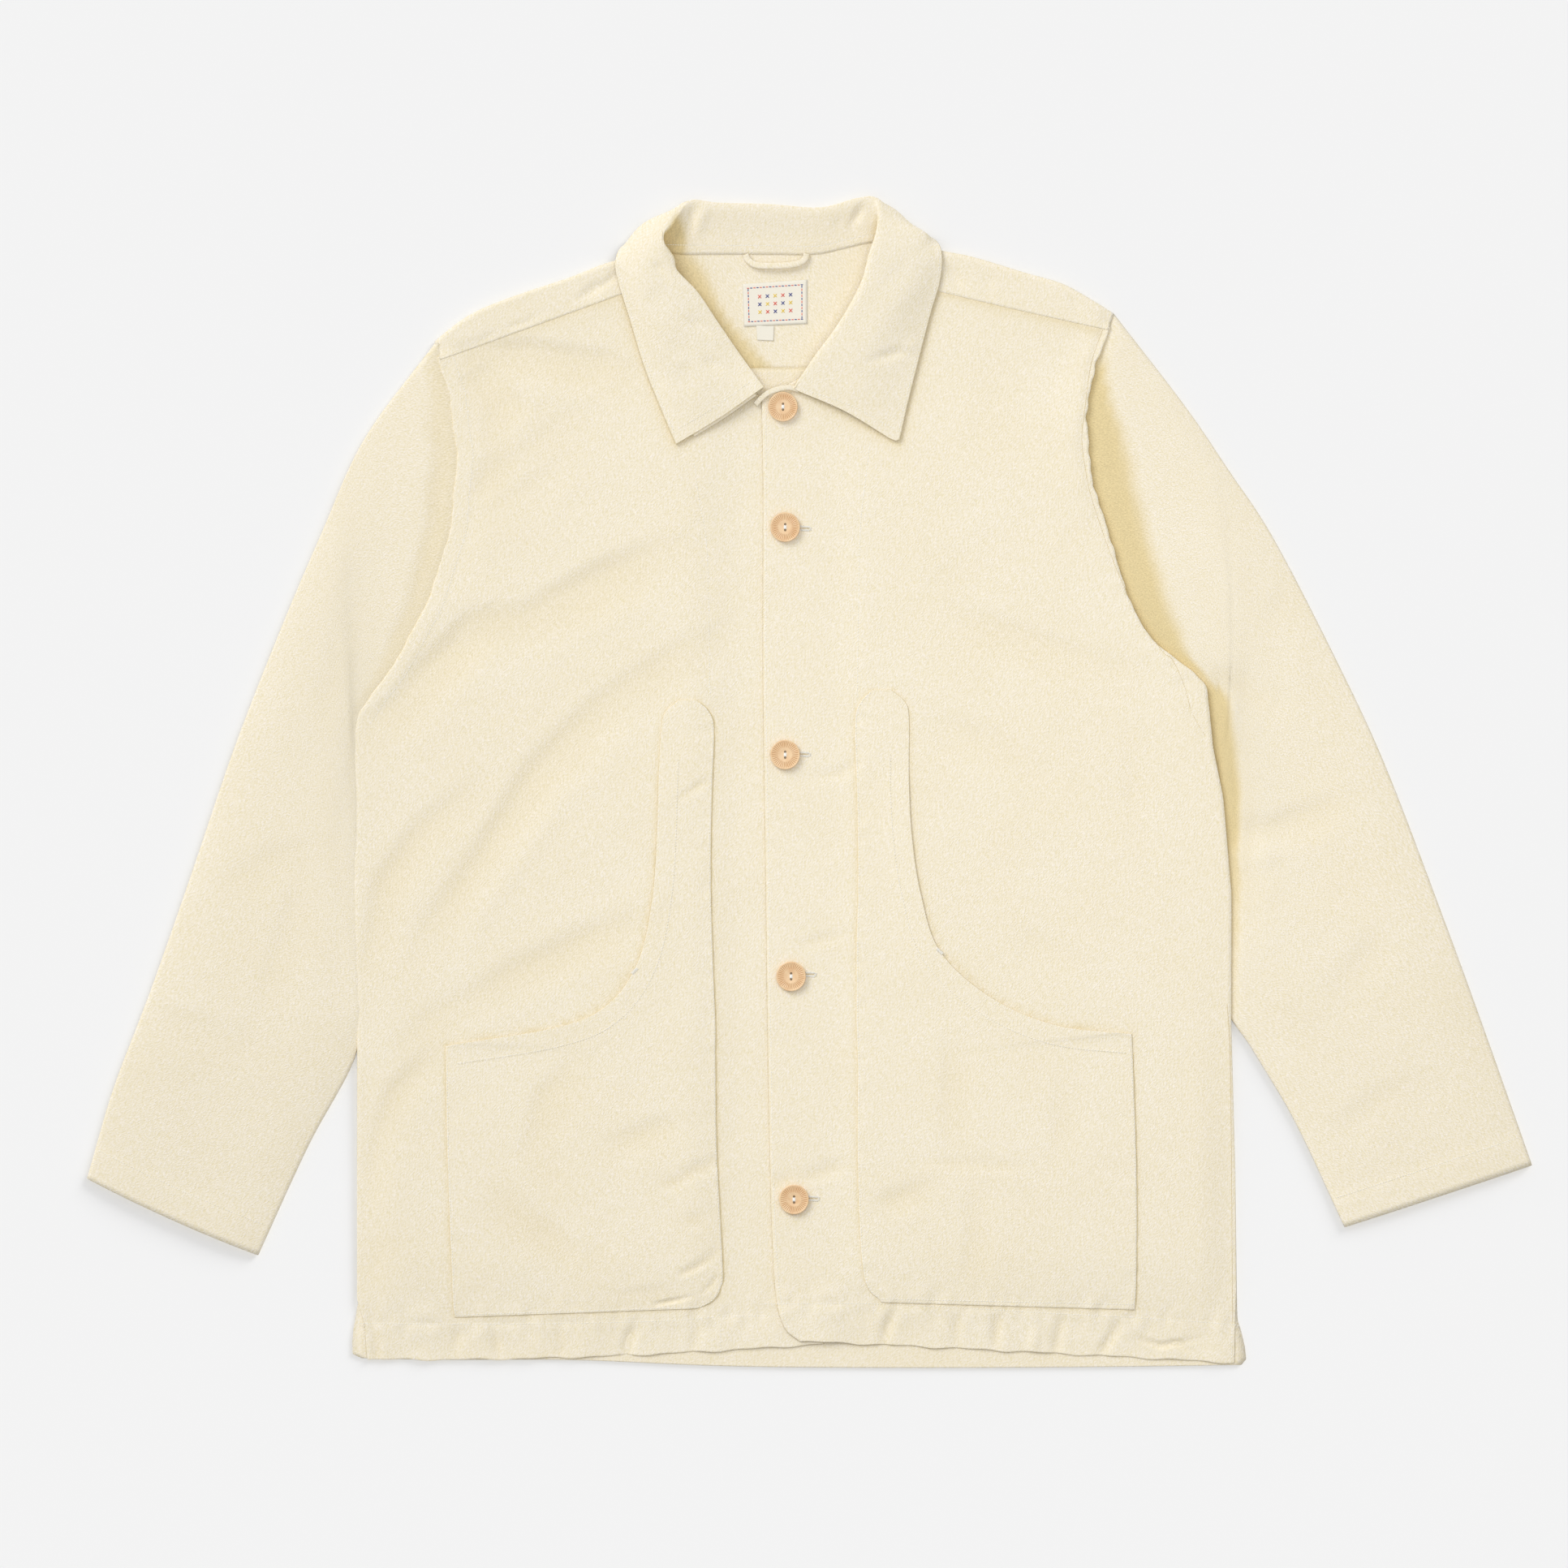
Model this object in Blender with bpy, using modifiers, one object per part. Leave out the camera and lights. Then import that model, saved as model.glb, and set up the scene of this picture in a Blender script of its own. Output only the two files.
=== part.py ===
"""A cotton work jacket laid flat on its back, buttoned up, with its collar turned down.

The jacket lies on the plane z = 0 with the collar towards +Y and the wearer's left at +X.
Each piece that a maker cuts is one object: back, yoke, two fronts, two sleeves, collar,
two pockets, hanger loop, neck label, size tag and five buttons.
"""

import math
from collections import namedtuple

import bmesh
import bpy
from mathutils import Vector

MM = 0.001
TINY = 1e-5
MERGE = 1e-6           # metres
SHARP = math.radians(40)

# ---- driving sizes, in millimetres -----------------------------------------------------
CLOTH = 1.2            # thickness of the body cloth
COLLAR_CLOTH = 1.6     # collar: two layers and an interfacing
SEAM = 0.5             # space between two pieces where they are sewn edge to edge
REST = 0.5             # space between a piece and the piece it lies on
CROWN = 5.8            # top of the fronts over the middle of the body
YOKE_TOP = 4.4         # top of the fronts and of the yoke at the shoulders
UNDER_LAP_TOP = 3.0    # top of the wearer's right front where the left front laps over it
OVER_LAP_TOP = 4.8     # top of the wearer's left front along the lap
HEM_TOP = 3.1          # top of the fronts at the hem
SIDE_FADE = 26.0       # width over which a front rises from its side edge to the crown
HEM_FADE = 70.0        # the same, up from the hem
SLEEVE_EDGE = 3.4      # height of the folded edge of a sleeve
FOLD_INSET = 5.0       # depth of the rounded shoulder fold of the yoke
LABEL_CLOTH = 1.0      # thickness of the neck label and the size tag
HOLE_RADIUS = 0.8      # thread holes of a button
HOLE_OFFSET = 1.4      # from the middle of a button to the middle of a hole

LAP_UNDER = (-85.0, -45.0)   # x over which the right front sinks to go under the lap
LAP_OVER = (14.0, 42.0)      # x over which the left front comes down from the lap
LAP_EDGE = -32.0             # x of the left front's free edge
CHEST = (200.0, 290.0)       # y over which the crown falls to the yoke's height

# ---- numbers of steps in the meshes ----------------------------------------------------
FRONT_STEPS = 16       # across a front
ROW_STEPS = 3          # from one table row of a front to the next
BACK_STEPS = 6         # across the back
YOKE_STEPS_DOWN = 5    # of the yoke from its back seam to its shoulder fold
YOKE_STEPS_OVER = 3    # of the yoke from the fold to the fronts
RING_HALF = 8          # across a sleeve, on each of its two layers
RUNG_STEPS = 2         # from one row of a sleeve to the next
COLLAR_STEPS = 2       # between two sections or two rails of the collar
POCKET_STEPS = 7       # across a pocket
STRIP_STEPS = 2        # from one row of a pocket to the next
LOOP_STEPS = 3         # from one row of the hanger loop to the next
BUTTON_STEPS = 24      # round a button
PIN_STEPS = 10         # round a thread hole

# ---- tables ----------------------------------------------------------------------------
# A row of a panel: its outer, middle and inner point, and the height of its outer edge.
Row = namedtuple("Row", "outer middle inner edge_top")
# A row of the back: its left end, middle and right end as seen from above.
Level = namedtuple("Level", "left middle right")
# A row of a sleeve, from the armhole to the cuff: outer fold, middle, inner fold, crown.
Rung = namedtuple("Rung", "outer middle inner crown")
# A row of a pocket: the end near the front edge and the end near the side.
Strip = namedtuple("Strip", "near far")
# A column of the yoke: x of its back seam, its shoulder fold or neck edge, and the part of
# the way along the front's top edge where it ends, if it comes over the shoulder.
Column = namedtuple("Column", "back_x fold front")
# A soft fold in the cloth: its two ends, half its width, and its height (down is minus).
Crease = namedtuple("Crease", "start stop half_width rise")
# A section of the collar, from its neck seam over the roll to its free edge.
Section = namedtuple("Section", "on neck roll leaf edge fold")

SLEEVE_RIGHT = (
    Rung((-254, 297), (-241, 173), (-306, 35), 4.6),
    Rung((-301, 233), (-300, 121), (-308, 8), 5.4),
    Rung((-331, 167), (-316, 70), (-306.5, -31), 6.0),
    Rung((-359, 101), (-332, 19), (-304.5, -64), 6.0),
    Rung((-389, 24), (-348, -39), (-303.5, -102), 6.0),
    Rung((-419, -64), (-363, -103), (-303, -143), 6.0),
    Rung((-446, -141), (-376, -164), (-307.5, -186), 6.0),
    Rung((-471, -207), (-405, -226), (-339, -246), 5.6),
    Rung((-489, -268), (-431, -296), (-373, -320), 5.0),
)
SLEEVE_LEFT = (
    Rung((208, 316), (191, 200), (271, 53), 3.8),
    Rung((255, 255), (272, 133), (276, 8), 4.4),
    Rung((285, 211), (288, 92), (277.5, -25), 6.0),
    Rung((314, 167), (299, 56), (279, -55), 6.2),
    Rung((354, 90), (319, 1), (281, -88), 6.0),
    Rung((390, 13), (339, -55), (282, -124), 6.0),
    Rung((432, -97), (360, -127), (288, -158), 6.0),
    Rung((460, -174), (394, -200), (328, -227), 5.6),
    Rung((490, -259), (427, -280), (363, -301), 5.0),
)


def smooth(value, start, stop):
    """0 before start and 1 after stop, with a soft step between them."""
    part = min(max((value - start) / (stop - start), 0.0), 1.0)
    return part * part * (3 - 2 * part)


def mix(low, high, part):
    return low + (high - low) * part


def bow(start, middle, stop, part):
    """Point of the parabola through three points, at part of its way."""
    first = (1 - part) * (1 - 2 * part)
    second = 4 * part * (1 - part)
    third = part * (2 * part - 1)
    return first * Vector(start) + second * Vector(middle) + third * Vector(stop)


def eased(step, steps):
    """Part of the way across a sleeve at a step: close together at both folds."""
    return (1 - math.cos(math.pi * step / steps)) / 2


def armhole(sleeve, step, side):
    """Point of a body panel on the armhole, SEAM away from the sleeve's own point."""
    first = sleeve[0]
    point = bow(first.outer, first.middle, first.inner, eased(step, RING_HALF))
    return point.x + side * SEAM, point.y


def armhole_r(step):
    return armhole(SLEEVE_RIGHT, step, 1)


def armhole_l(step):
    return armhole(SLEEVE_LEFT, step, -1)


FRONT_RIGHT = (
    Row(armhole_r(1), (-180, 313), (-104, 341), 4.4),
    Row(armhole_r(2), (-166, 278), (-82, 297), 4.6),
    Row(armhole_r(3), (-145, 247), (-50, 270), 4.6),
    Row(armhole_r(4), (-118, 212), (3, 250), 4.6),
    Row(armhole_r(5), (-124, 165), (3, 206), 5.0),
    Row(armhole_r(6), (-138, 110), (3, 137), 5.4),
    Row(armhole_r(7), (-147, 54), (3, 66), 5.8),
    Row((-307, -53), (-152, -47), (4, -42), 5.8),
    Row((-306, -157), (-151, -154), (5, -152), 5.4),
    Row((-306, -262), (-150, -262), (6, -262), 3.4),
    Row((-306, -350), (-149, -350), (9, -350), 2.9),
    Row((-303, -391), (-155, -389), (10, -380), 2.9),
)
FRONT_LEFT = (
    Row(armhole_l(1), (140, 322), (60, 341), 4.6),
    Row(armhole_l(2), (116, 289), (38, 300), 5.4),
    Row(armhole_l(3), (91, 258), (-10, 272), 6.0),
    Row(armhole_l(4), (78, 224), (-32, 260), 6.0),
    Row(armhole_l(5), (88, 168), (-31, 206), 6.0),
    Row(armhole_l(6), (101, 114), (-31, 137), 6.0),
    Row(armhole_l(7), (117, 68), (-31, 72), 6.0),
    Row((277, -9), (123, -9), (-30, -11), 5.9),
    Row((284, -75), (127, -77), (-29, -80), 5.8),
    Row((286, -157), (130, -157), (-28, -160), 5.2),
    Row((289, -267), (132, -267), (-26, -270), 3.4),
    Row((292, -344), (134, -344), (-23, -341), 2.9),
    Row((292, -372), (136, -369), (-17, -368), 2.9),
    Row((288, -393), (139, -385), (-6, -378), 2.9),
)
FRONT_CORNERS = (3,)          # the top of the front edge

BACK = (
    Level((-245, 281.5), (-27, 279.5), (192.4, 284.5)),
    Level(armhole_r(2), (-27, 262), (189, 267)),
    Level(armhole_r(3), (-26, 232), armhole_l(3)),
    Level(armhole_r(4), (-25, 186), armhole_l(4)),
    Level(armhole_r(5), (-22, 135), armhole_l(5)),
    Level(armhole_r(6), (-20, 90), armhole_l(6)),
    Level(armhole_r(7), (-19, 54), armhole_l(7)),
    Level((-306, 2), (-15, 4), (274.5, 8)),
    Level((-303, -64), (-12, -60), (277.4, -55)),
    Level((-301.5, -143), (-10, -134), (280.5, -124)),
    Level((-306, -190), (-10, -178), (285.5, -165)),
    Level((-306, -262), (-9, -264), (289, -267)),
    Level((-306, -350), (-7, -350), (292, -350)),
    Level((-309, -380), (-7, -383), (296, -380)),
    Level((-306, -389), (-9, -396), (294, -394)),
)

YOKE = (
    Column(-245, (-253.5, 299), 0),
    Column(-218, (-240, 310), 0.2),
    Column(-191, (-224, 320), 0.4),
    Column(-163, (-196, 331), 0.6),
    Column(-136, (-163, 342), 0.78),
    Column(-112, (-134, 353), 0.9),
    Column(-100, (-104, 359), 1),
    Column(-86, (-90, 361), None),
    Column(-66, (-70, 361), None),
    Column(-27, (-27, 361), None),
    Column(8, (10, 361), None),
    Column(24, (26, 365), None),
    Column(36, (42, 369), None),
    Column(50, (60, 368), 1),
    Column(73, (88, 361), 0.88),
    Column(101, (112, 356), 0.66),
    Column(134, (145, 346), 0.5),
    Column(161, (172, 338), 0.28),
    Column(180, (192, 327), 0.12),
    Column(192.7, (206.5, 318), 0),
)
YOKE_SEAM = ((-245, 282), (-27, 280), (193, 285))     # left end, middle, right end
NECK_FIRST, NECK_LAST = 6, 13                        # columns at the two neck points

COLLAR = (
    Section("front", (-36, 263, 0.4), (-31, 267, 2.6), (-60, 247, 4.4), (-90, 229, 2.1), 4.6),
    Section("front", (-57, 273, 0.4), (-46, 288, 3.4), (-76, 270, 6.4), (-101, 255, 2.1), 5.6),
    Section("front", (-84, 291, 0.4), (-64, 309, 4.2), (-93, 294, 8.0), (-112, 283, 2.1), 7.0),
    Section("front", (-99, 315, 0.4), (-78, 330, 5.2), (-107, 319, 9.0), (-121, 313, 2.3), 8.0),
    Section("front", (-107, 336, 0.5), (-90, 348, 6.4), (-115, 341, 9.0), (-129, 339, 2.6), 8.5),
    Section("floor", (-107, 352, 5.0), (-94, 363, 11.5), (-117, 357, 11.5), (-131, 353, 7.2), 9.0),
    Section("floor", (-105, 358, 5.4), (-93, 376, 11.5), (-120, 368, 6.5), (-126, 364, 1.8), 9.0),
    Section("floor", (-100, 360, 4.4), (-89, 386, 8.5), (-110, 380, 3.0), (-112, 368, 0.3), 7.0),
    Section("floor", (-87, 358, 3.8), (-81, 394, 4.0), (-88, 381, 0.2), (-88, 365, 0.0), 5.4),
    Section("floor", (-64, 358, 3.6), (-61, 392, 2.7), (-62, 377, 0.0), (-63, 364, 0.0), 4.8),
    Section("floor", (-27, 358, 3.6), (-26, 391, 2.6), (-26, 377, 0.0), (-27, 364, 0.0), 4.6),
    Section("floor", (4, 358, 3.6), (7, 389, 2.6), (5, 376, 0.0), (4, 364, 0.0), 4.6),
    Section("floor", (24, 362, 3.6), (33, 395, 3.0), (31, 382, 0.0), (28, 370, 0.0), 5.0),
    Section("floor", (43, 366, 3.8), (46, 396, 5.0), (55, 388, 1.2), (52, 374, 0.2), 6.0),
    Section("floor", (58, 364, 5.0), (47, 385, 9.5), (69, 379, 3.6), (68, 374, 0.8), 8.0),
    Section("floor", (64, 358, 5.4), (45, 371, 12.0), (77, 371, 8.0), (84, 369, 2.2), 9.0),
    Section("floor", (66, 350, 5.0), (40, 356, 12.0), (70, 356, 12.0), (90, 359, 7.2), 9.0),
    Section("front", (63, 338, 0.5), (35, 338, 6.4), (66, 337, 9.0), (89, 340, 2.6), 8.5),
    Section("front", (50, 313, 0.4), (21, 312, 5.2), (54, 314, 9.0), (83, 319, 2.3), 8.0),
    Section("front", (30, 291, 0.4), (5, 290, 4.2), (40, 288, 8.0), (75, 288, 2.1), 7.0),
    Section("front", (9, 278, 0.4), (-5, 275, 3.4), (33, 267, 6.4), (67, 256, 2.1), 5.6),
    Section("front", (-2, 271, 0.4), (-9, 268, 2.6), (25, 251, 4.4), (61, 229, 2.1), 4.6),
)

CREASES = (
    # wearer's right front: three long drag folds that run down from the lap to the side
    Crease((-104, 165), (-236, 112), 18, -0.8),
    Crease((-236, 112), (-292, 42), 18, -0.8),
    Crease((-185, 8), (-262, -106), 18, -1.0),
    Crease((-224, -3), (-288, -116), 17, -0.5),
    Crease((-118, -84), (-270, -150), 17, -0.4),
    Crease((-140, 92), (-258, 28), 18, 0.4),
    # wearer's left front: shallow ones
    Crease((101, 112), (211, 80), 18, -0.4),
    Crease((90, 35), (167, 3), 18, -0.4),
    # sleeves
    Crease((285, 72), (318, 50), 18, -0.7),
    Crease((292, -33), (356, -14), 18, -0.8),
    Crease((-339, -58), (-378, -174), 18, -0.5),
    Crease((-334, 62), (-352, -6), 18, -0.4),
)

POCKET_LEFT = (
    Strip((43, 63), (56, 63)),
    Strip((35, 55), (65, 55)),
    Strip((31, 42), (68, 44)),
    Strip((32, 2), (68, 2)),
    Strip((33, -36), (70, -36)),
    Strip((33, -75), (76, -75)),
    Strip((32, -108), (89, -114)),
    Strip((32, -138), (123, -145)),
    Strip((32, -165), (167, -164)),
    Strip((33, -192), (219, -170)),
    Strip((33, -262), (222, -262)),
    Strip((37, -333), (222, -333)),
    Strip((49, -352), (221, -357)),
)
POCKET_RIGHT = (
    Strip((-76, 56), (-88, 56)),
    Strip((-68, 49), (-97, 48)),
    Strip((-64, 37), (-100, 37)),
    Strip((-65, 2), (-102, 2)),
    Strip((-66, -36), (-103, -36)),
    Strip((-66, -75), (-106, -77)),
    Strip((-65, -110), (-115, -119)),
    Strip((-64, -138), (-135, -149)),
    Strip((-63, -163), (-169, -165)),
    Strip((-63, -190), (-246, -178)),
    Strip((-62, -250), (-245, -250)),
    Strip((-58, -328), (-242, -328)),
    Strip((-67, -354), (-240, -362)),
)
POCKET_CORNERS = (9,)         # the outer corner of the opening

LOOP = (
    Strip((-43, 357), (-38.5, 357)),
    Strip((-40, 352.5), (-36.5, 354.6)),
    Strip((-34, 349.8), (-32.5, 353.8)),
    Strip((-23, 348.8), (-23, 353.2)),
    Strip((-12, 349.6), (-13, 353.8)),
    Strip((-4, 352), (-7.5, 354.8)),
    Strip((-0.5, 357), (-5, 357)),
)
LABEL = ((-45, 338), (-1, 341), (-1, 311), (-44, 309))
SIZE_TAG = ((-35.5, 308.8), (-23.5, 308.8), (-24, 299.5), (-35, 300))

BUTTON_CENTRES = ((-17.5, 254.5), (-16, 173), (-16, 19), (-12, -131), (-10, -282))
# Half profile of a button from its middle down its outer side: radius and height.
BUTTON_PROFILE = ((0, 2.2), (4.4, 2.2), (8.6, 2.9), (9.6, 2.7), (10, 1.9), (9.0, 0.6), (6, 0), (0, 0))

CREAM = (0.93, 0.84, 0.64, 1)
CREAM_SHADE = (0.90, 0.80, 0.58, 1)
OFF_WHITE = (0.86, 0.82, 0.72, 1)
TAN = (0.80, 0.56, 0.33, 1)


# ---- heights ---------------------------------------------------------------------------
def at_height(rows, y):
    """Outer edge of a front at y: its x and the height of its top."""
    for above, below in zip(rows, rows[1:]):
        if y >= below.outer[1]:
            part = (above.outer[1] - y) / (above.outer[1] - below.outer[1])
            part = min(max(part, 0.0), 1.0)
            return (
                mix(above.outer[0], below.outer[0], part),
                mix(above.edge_top, below.edge_top, part),
            )
    return rows[-1].outer[0], rows[-1].edge_top


def folded(x, y):
    """Height that the folds add at a point: most on a fold's line, none at its ends."""
    added = 0.0
    for crease in CREASES:
        start, way = Vector(crease.start), Vector(crease.stop) - Vector(crease.start)
        offset = Vector((x, y)) - start
        part = offset.dot(way) / way.length_squared
        beside = abs(offset.x * way.y - offset.y * way.x) / way.length
        if 0 < part < 1 and beside < crease.half_width:
            across = (1 + math.cos(math.pi * beside / crease.half_width)) / 2
            added += crease.rise * across * math.sin(math.pi * part) ** 0.7
    return added


def front_top(rows, x, y):
    """Height of the top of a front at a point: low at its edges, soft and raised inside."""
    edge_x, edge_top = at_height(rows, y)
    crown = mix(CROWN, YOKE_TOP, smooth(y, *CHEST)) + folded(x, y)
    top = mix(edge_top, crown, smooth(abs(x - edge_x), 0, SIDE_FADE))
    hem_y = rows[-1].middle[1]
    top = mix(HEM_TOP, top, smooth(y - hem_y, 0, HEM_FADE))
    if rows is FRONT_RIGHT:
        return mix(top, UNDER_LAP_TOP, smooth(x, *LAP_UNDER))
    return mix(OVER_LAP_TOP, top, smooth(x, *LAP_OVER))


def base_under(x, y):
    """Height of the front that a collar leaf lies on."""
    rows = FRONT_RIGHT if x < LAP_EDGE else FRONT_LEFT
    return front_top(rows, x, y)


# ---- curves through table rows ---------------------------------------------------------
def between(points, way, corners=()):
    """Point of a smooth curve through points; way runs from 0 to 1, evenly by point."""
    spans = len(points) - 1
    place = min(max(way, 0.0), 1.0) * spans
    first = min(int(place), spans - 1)
    part = place - first
    near, far = Vector(points[first]), Vector(points[first + 1])
    before = near * 2 - far if first == 0 or first in corners else Vector(points[first - 1])
    is_end = first + 1 == spans or first + 1 in corners
    after = far * 2 - near if is_end else Vector(points[first + 2])
    slope_near, slope_far = (far - before) / 2, (after - near) / 2
    square, cube = part * part, part * part * part
    return (
        near * (2 * cube - 3 * square + 1)
        + slope_near * (cube - 2 * square + part)
        + far * (3 * square - 2 * cube)
        + slope_far * (cube - square)
    )


def straight(points, way):
    """Point of the straight runs through points; way runs from 0 to 1, evenly by point."""
    spans = len(points) - 1
    place = way * spans
    first = min(int(place + TINY), spans - 1)
    return mix(Vector(points[first]), Vector(points[first + 1]), place - first)


def front_point(rows, across, along):
    """Plan point of a front. Its outer edge runs straight from row to row, as the seam
    it meets does, and its front edge has a corner at the top."""
    outer = straight([row.outer for row in rows], along)
    middle = between([row.middle for row in rows], along, FRONT_CORNERS)
    inner = between([row.inner for row in rows], along, FRONT_CORNERS)
    return bow(outer, middle, inner, across)


def sleeve_point(rows, across, along):
    """Plan point of a sleeve, across from its outer to its inner fold."""
    outer = between([row.outer for row in rows], along)
    middle = between([row.middle for row in rows], along)
    inner = between([row.inner for row in rows], along)
    return bow(outer, middle, inner, across)


# ---- Blender helpers -------------------------------------------------------------------
def clear_scene():
    for thing in list(bpy.data.objects):
        bpy.data.objects.remove(thing, do_unlink=True)


def new_collection(name):
    made = bpy.data.collections.new(name)
    bpy.context.scene.collection.children.link(made)
    return made


def material(name, colour, roughness):
    made = bpy.data.materials.new(name)
    made.use_nodes = True
    shader = made.node_tree.nodes["Principled BSDF"]
    shader.inputs["Base Color"].default_value = colour
    shader.inputs["Roughness"].default_value = roughness
    made.diffuse_color = colour
    return made


def object_of(mesh_data, name, parts, finish):
    mesh = bpy.data.meshes.new(name)
    mesh_data.to_mesh(mesh)
    mesh_data.free()
    mesh.materials.append(finish)
    made = bpy.data.objects.new(name, mesh)
    parts.objects.link(made)
    return made


def mapped_grid(across, along, place, closed=False, keep=None):
    """A grid of quads, each vertex moved to place(u, v) in millimetres.

    closed joins the two ends of u. keep(u, v) says whether the face round that point stays.
    """
    made = bmesh.new()
    bmesh.ops.create_grid(made, x_segments=across, y_segments=along, size=0.5)
    if keep:
        holes = []
        for face in made.faces:
            middle = face.calc_center_median()
            if not keep(middle.x + 0.5, middle.y + 0.5):
                holes.append(face)
        bmesh.ops.delete(made, geom=holes, context="FACES")
    for vertex in made.verts:
        vertex.co = Vector(place(vertex.co.x + 0.5, vertex.co.y + 0.5)) * MM
    if closed:
        bmesh.ops.remove_doubles(made, verts=made.verts, dist=MERGE)
    bmesh.ops.recalc_face_normals(made, faces=made.faces)
    made.normal_update()
    return made


def face_up(skin):
    """Turn an outer skin so that its highest face looks up, and so the rest look out."""
    highest = max(skin.faces, key=lambda face: face.calc_center_median().z)
    if highest.normal.z < 0:
        bmesh.ops.reverse_faces(skin, faces=skin.faces)


def thicken(made, thickness):
    """Give an outer skin its wall, inwards."""
    wall = made.modifiers.new("wall", "SOLIDIFY")
    wall.thickness = thickness * MM
    wall.offset = -1
    wall.use_even_offset = True
    wall.use_quality_normals = True


def shade(made):
    made.data.shade_smooth()
    made.data.set_sharp_from_angle(angle=SHARP)


# ---- pieces ----------------------------------------------------------------------------
def make_front(name, rows, parts, finish):
    def place(across, along):
        point = front_point(rows, across, along)
        return point.x, point.y, front_top(rows, point.x, point.y)

    skin = mapped_grid(FRONT_STEPS, ROW_STEPS * (len(rows) - 1), place)
    face_up(skin)
    made = object_of(skin, name, parts, finish)
    thicken(made, CLOTH)
    shade(made)


def make_back(parts, finish):
    def place(across, along):
        rails = ([row.left for row in BACK], [row.middle for row in BACK], [row.right for row in BACK])
        point = bow(*(straight(rail, along) for rail in rails), across)
        return point.x, point.y, CLOTH

    skin = mapped_grid(BACK_STEPS, len(BACK) - 1, place)
    face_up(skin)
    made = object_of(skin, "back", parts, finish)
    thicken(made, CLOTH)


def yoke_point(column, row):
    """Point of the yoke's skin: rows run from the back seam under and over the fold."""
    fold = Vector(column.fold)
    comes_over = column.front is not None
    left_end, right_end = YOKE_SEAM[0][0], YOKE_SEAM[2][0]
    seam = bow(*YOKE_SEAM, (column.back_x - left_end) / (right_end - left_end))
    if row < YOKE_STEPS_DOWN:
        inset = FOLD_INSET if comes_over else 0.0
        near = fold + (seam - fold).normalized() * inset
        point = mix(seam, near, row / (YOKE_STEPS_DOWN - 1))
        return point.x, point.y, 0.0
    if row == YOKE_STEPS_DOWN or not comes_over:
        return fold.x, fold.y, YOKE_TOP / 2
    top_row = (FRONT_RIGHT if fold.x < 0 else FRONT_LEFT)[0]
    front = bow(top_row.outer, top_row.middle, top_row.inner, column.front)
    front.y += SEAM
    near = fold + (front - fold).normalized() * FOLD_INSET
    point = mix(near, front, (row - YOKE_STEPS_DOWN - 1) / (YOKE_STEPS_OVER - 1))
    return point.x, point.y, YOKE_TOP


def make_yoke(parts, finish):
    rows = YOKE_STEPS_DOWN + YOKE_STEPS_OVER
    columns = len(YOKE) - 1

    def place(across, along):
        column = YOKE[round(across * columns)]
        return yoke_point(column, round(along * rows))

    def keep(across, along):
        at_neck = NECK_FIRST < across * columns < NECK_LAST
        return not (at_neck and along * rows > YOKE_STEPS_DOWN - 1)

    skin = mapped_grid(columns, rows, place, keep=keep)
    face_up(skin)
    made = object_of(skin, "yoke", parts, finish)
    thicken(made, CLOTH)
    shade(made)


def make_sleeve(name, rungs, parts, finish):
    """A tube pressed flat: a plain layer on the ground and a soft one over it."""
    def place(round_way, along):
        step = round_way * 2 * RING_HALF
        is_top = step > RING_HALF
        across = eased(2 * RING_HALF - step if is_top else step, RING_HALF)
        point = sleeve_point(rungs, across, along)
        crown = between([(rung.crown, 0, 0) for rung in rungs], along).x
        edge = min(across, 1 - across)
        inside = 1 - abs(2 * across - 1) ** 4
        top = mix(SLEEVE_EDGE, crown + folded(point.x, point.y), inside)
        if edge < TINY:
            return point.x, point.y, SLEEVE_EDGE / 2
        return point.x, point.y, top if is_top else 0.0

    skin = mapped_grid(2 * RING_HALF, RUNG_STEPS * (len(rungs) - 1), place, closed=True)
    face_up(skin)
    made = object_of(skin, name, parts, finish)
    thicken(made, CLOTH)
    shade(made)


def collar_spots(section):
    """The six points of a collar section: neck, before the roll, roll, after it, leaf, edge."""
    neck, roll, leaf, edge = (Vector(p) for p in section[1:5])
    if section.on == "front":
        for point in (neck, roll, leaf, edge):
            point.z += base_under(point.x, point.y)
    inwards = ((neck + leaf) / 2 - roll).normalized()
    apart = neck - leaf
    apart = (apart - inwards * apart.dot(inwards)).normalized()
    half = section.fold / 2
    before = roll + (inwards + apart) * half
    after = roll + (inwards - apart) * half
    return neck, before, roll, after, leaf, edge


def make_collar(parts, finish):
    spots = [collar_spots(section) for section in COLLAR]
    rails = list(zip(*spots))

    def place(along, across):
        section = [between(rail, along) for rail in rails]
        point = between(section, across)
        return point.x, point.y, max(point.z, 0.0)

    skin = mapped_grid(COLLAR_STEPS * (len(COLLAR) - 1), COLLAR_STEPS * (len(rails) - 1), place)
    face_up(skin)
    made = object_of(skin, "collar", parts, finish)
    thicken(made, COLLAR_CLOTH)
    shade(made)


def make_pocket(name, strips, rows, parts, finish):
    """A patch that lies on its front: the front's own height, moved out."""
    def place(across, along):
        near = between([strip.near for strip in strips], along, POCKET_CORNERS)
        far = between([strip.far for strip in strips], along, POCKET_CORNERS)
        point = mix(near, far, across)
        return point.x, point.y, front_top(rows, point.x, point.y) + REST + CLOTH

    skin = mapped_grid(POCKET_STEPS, STRIP_STEPS * (len(strips) - 1), place)
    face_up(skin)
    made = object_of(skin, name, parts, finish)
    thicken(made, CLOTH)
    shade(made)


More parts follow.
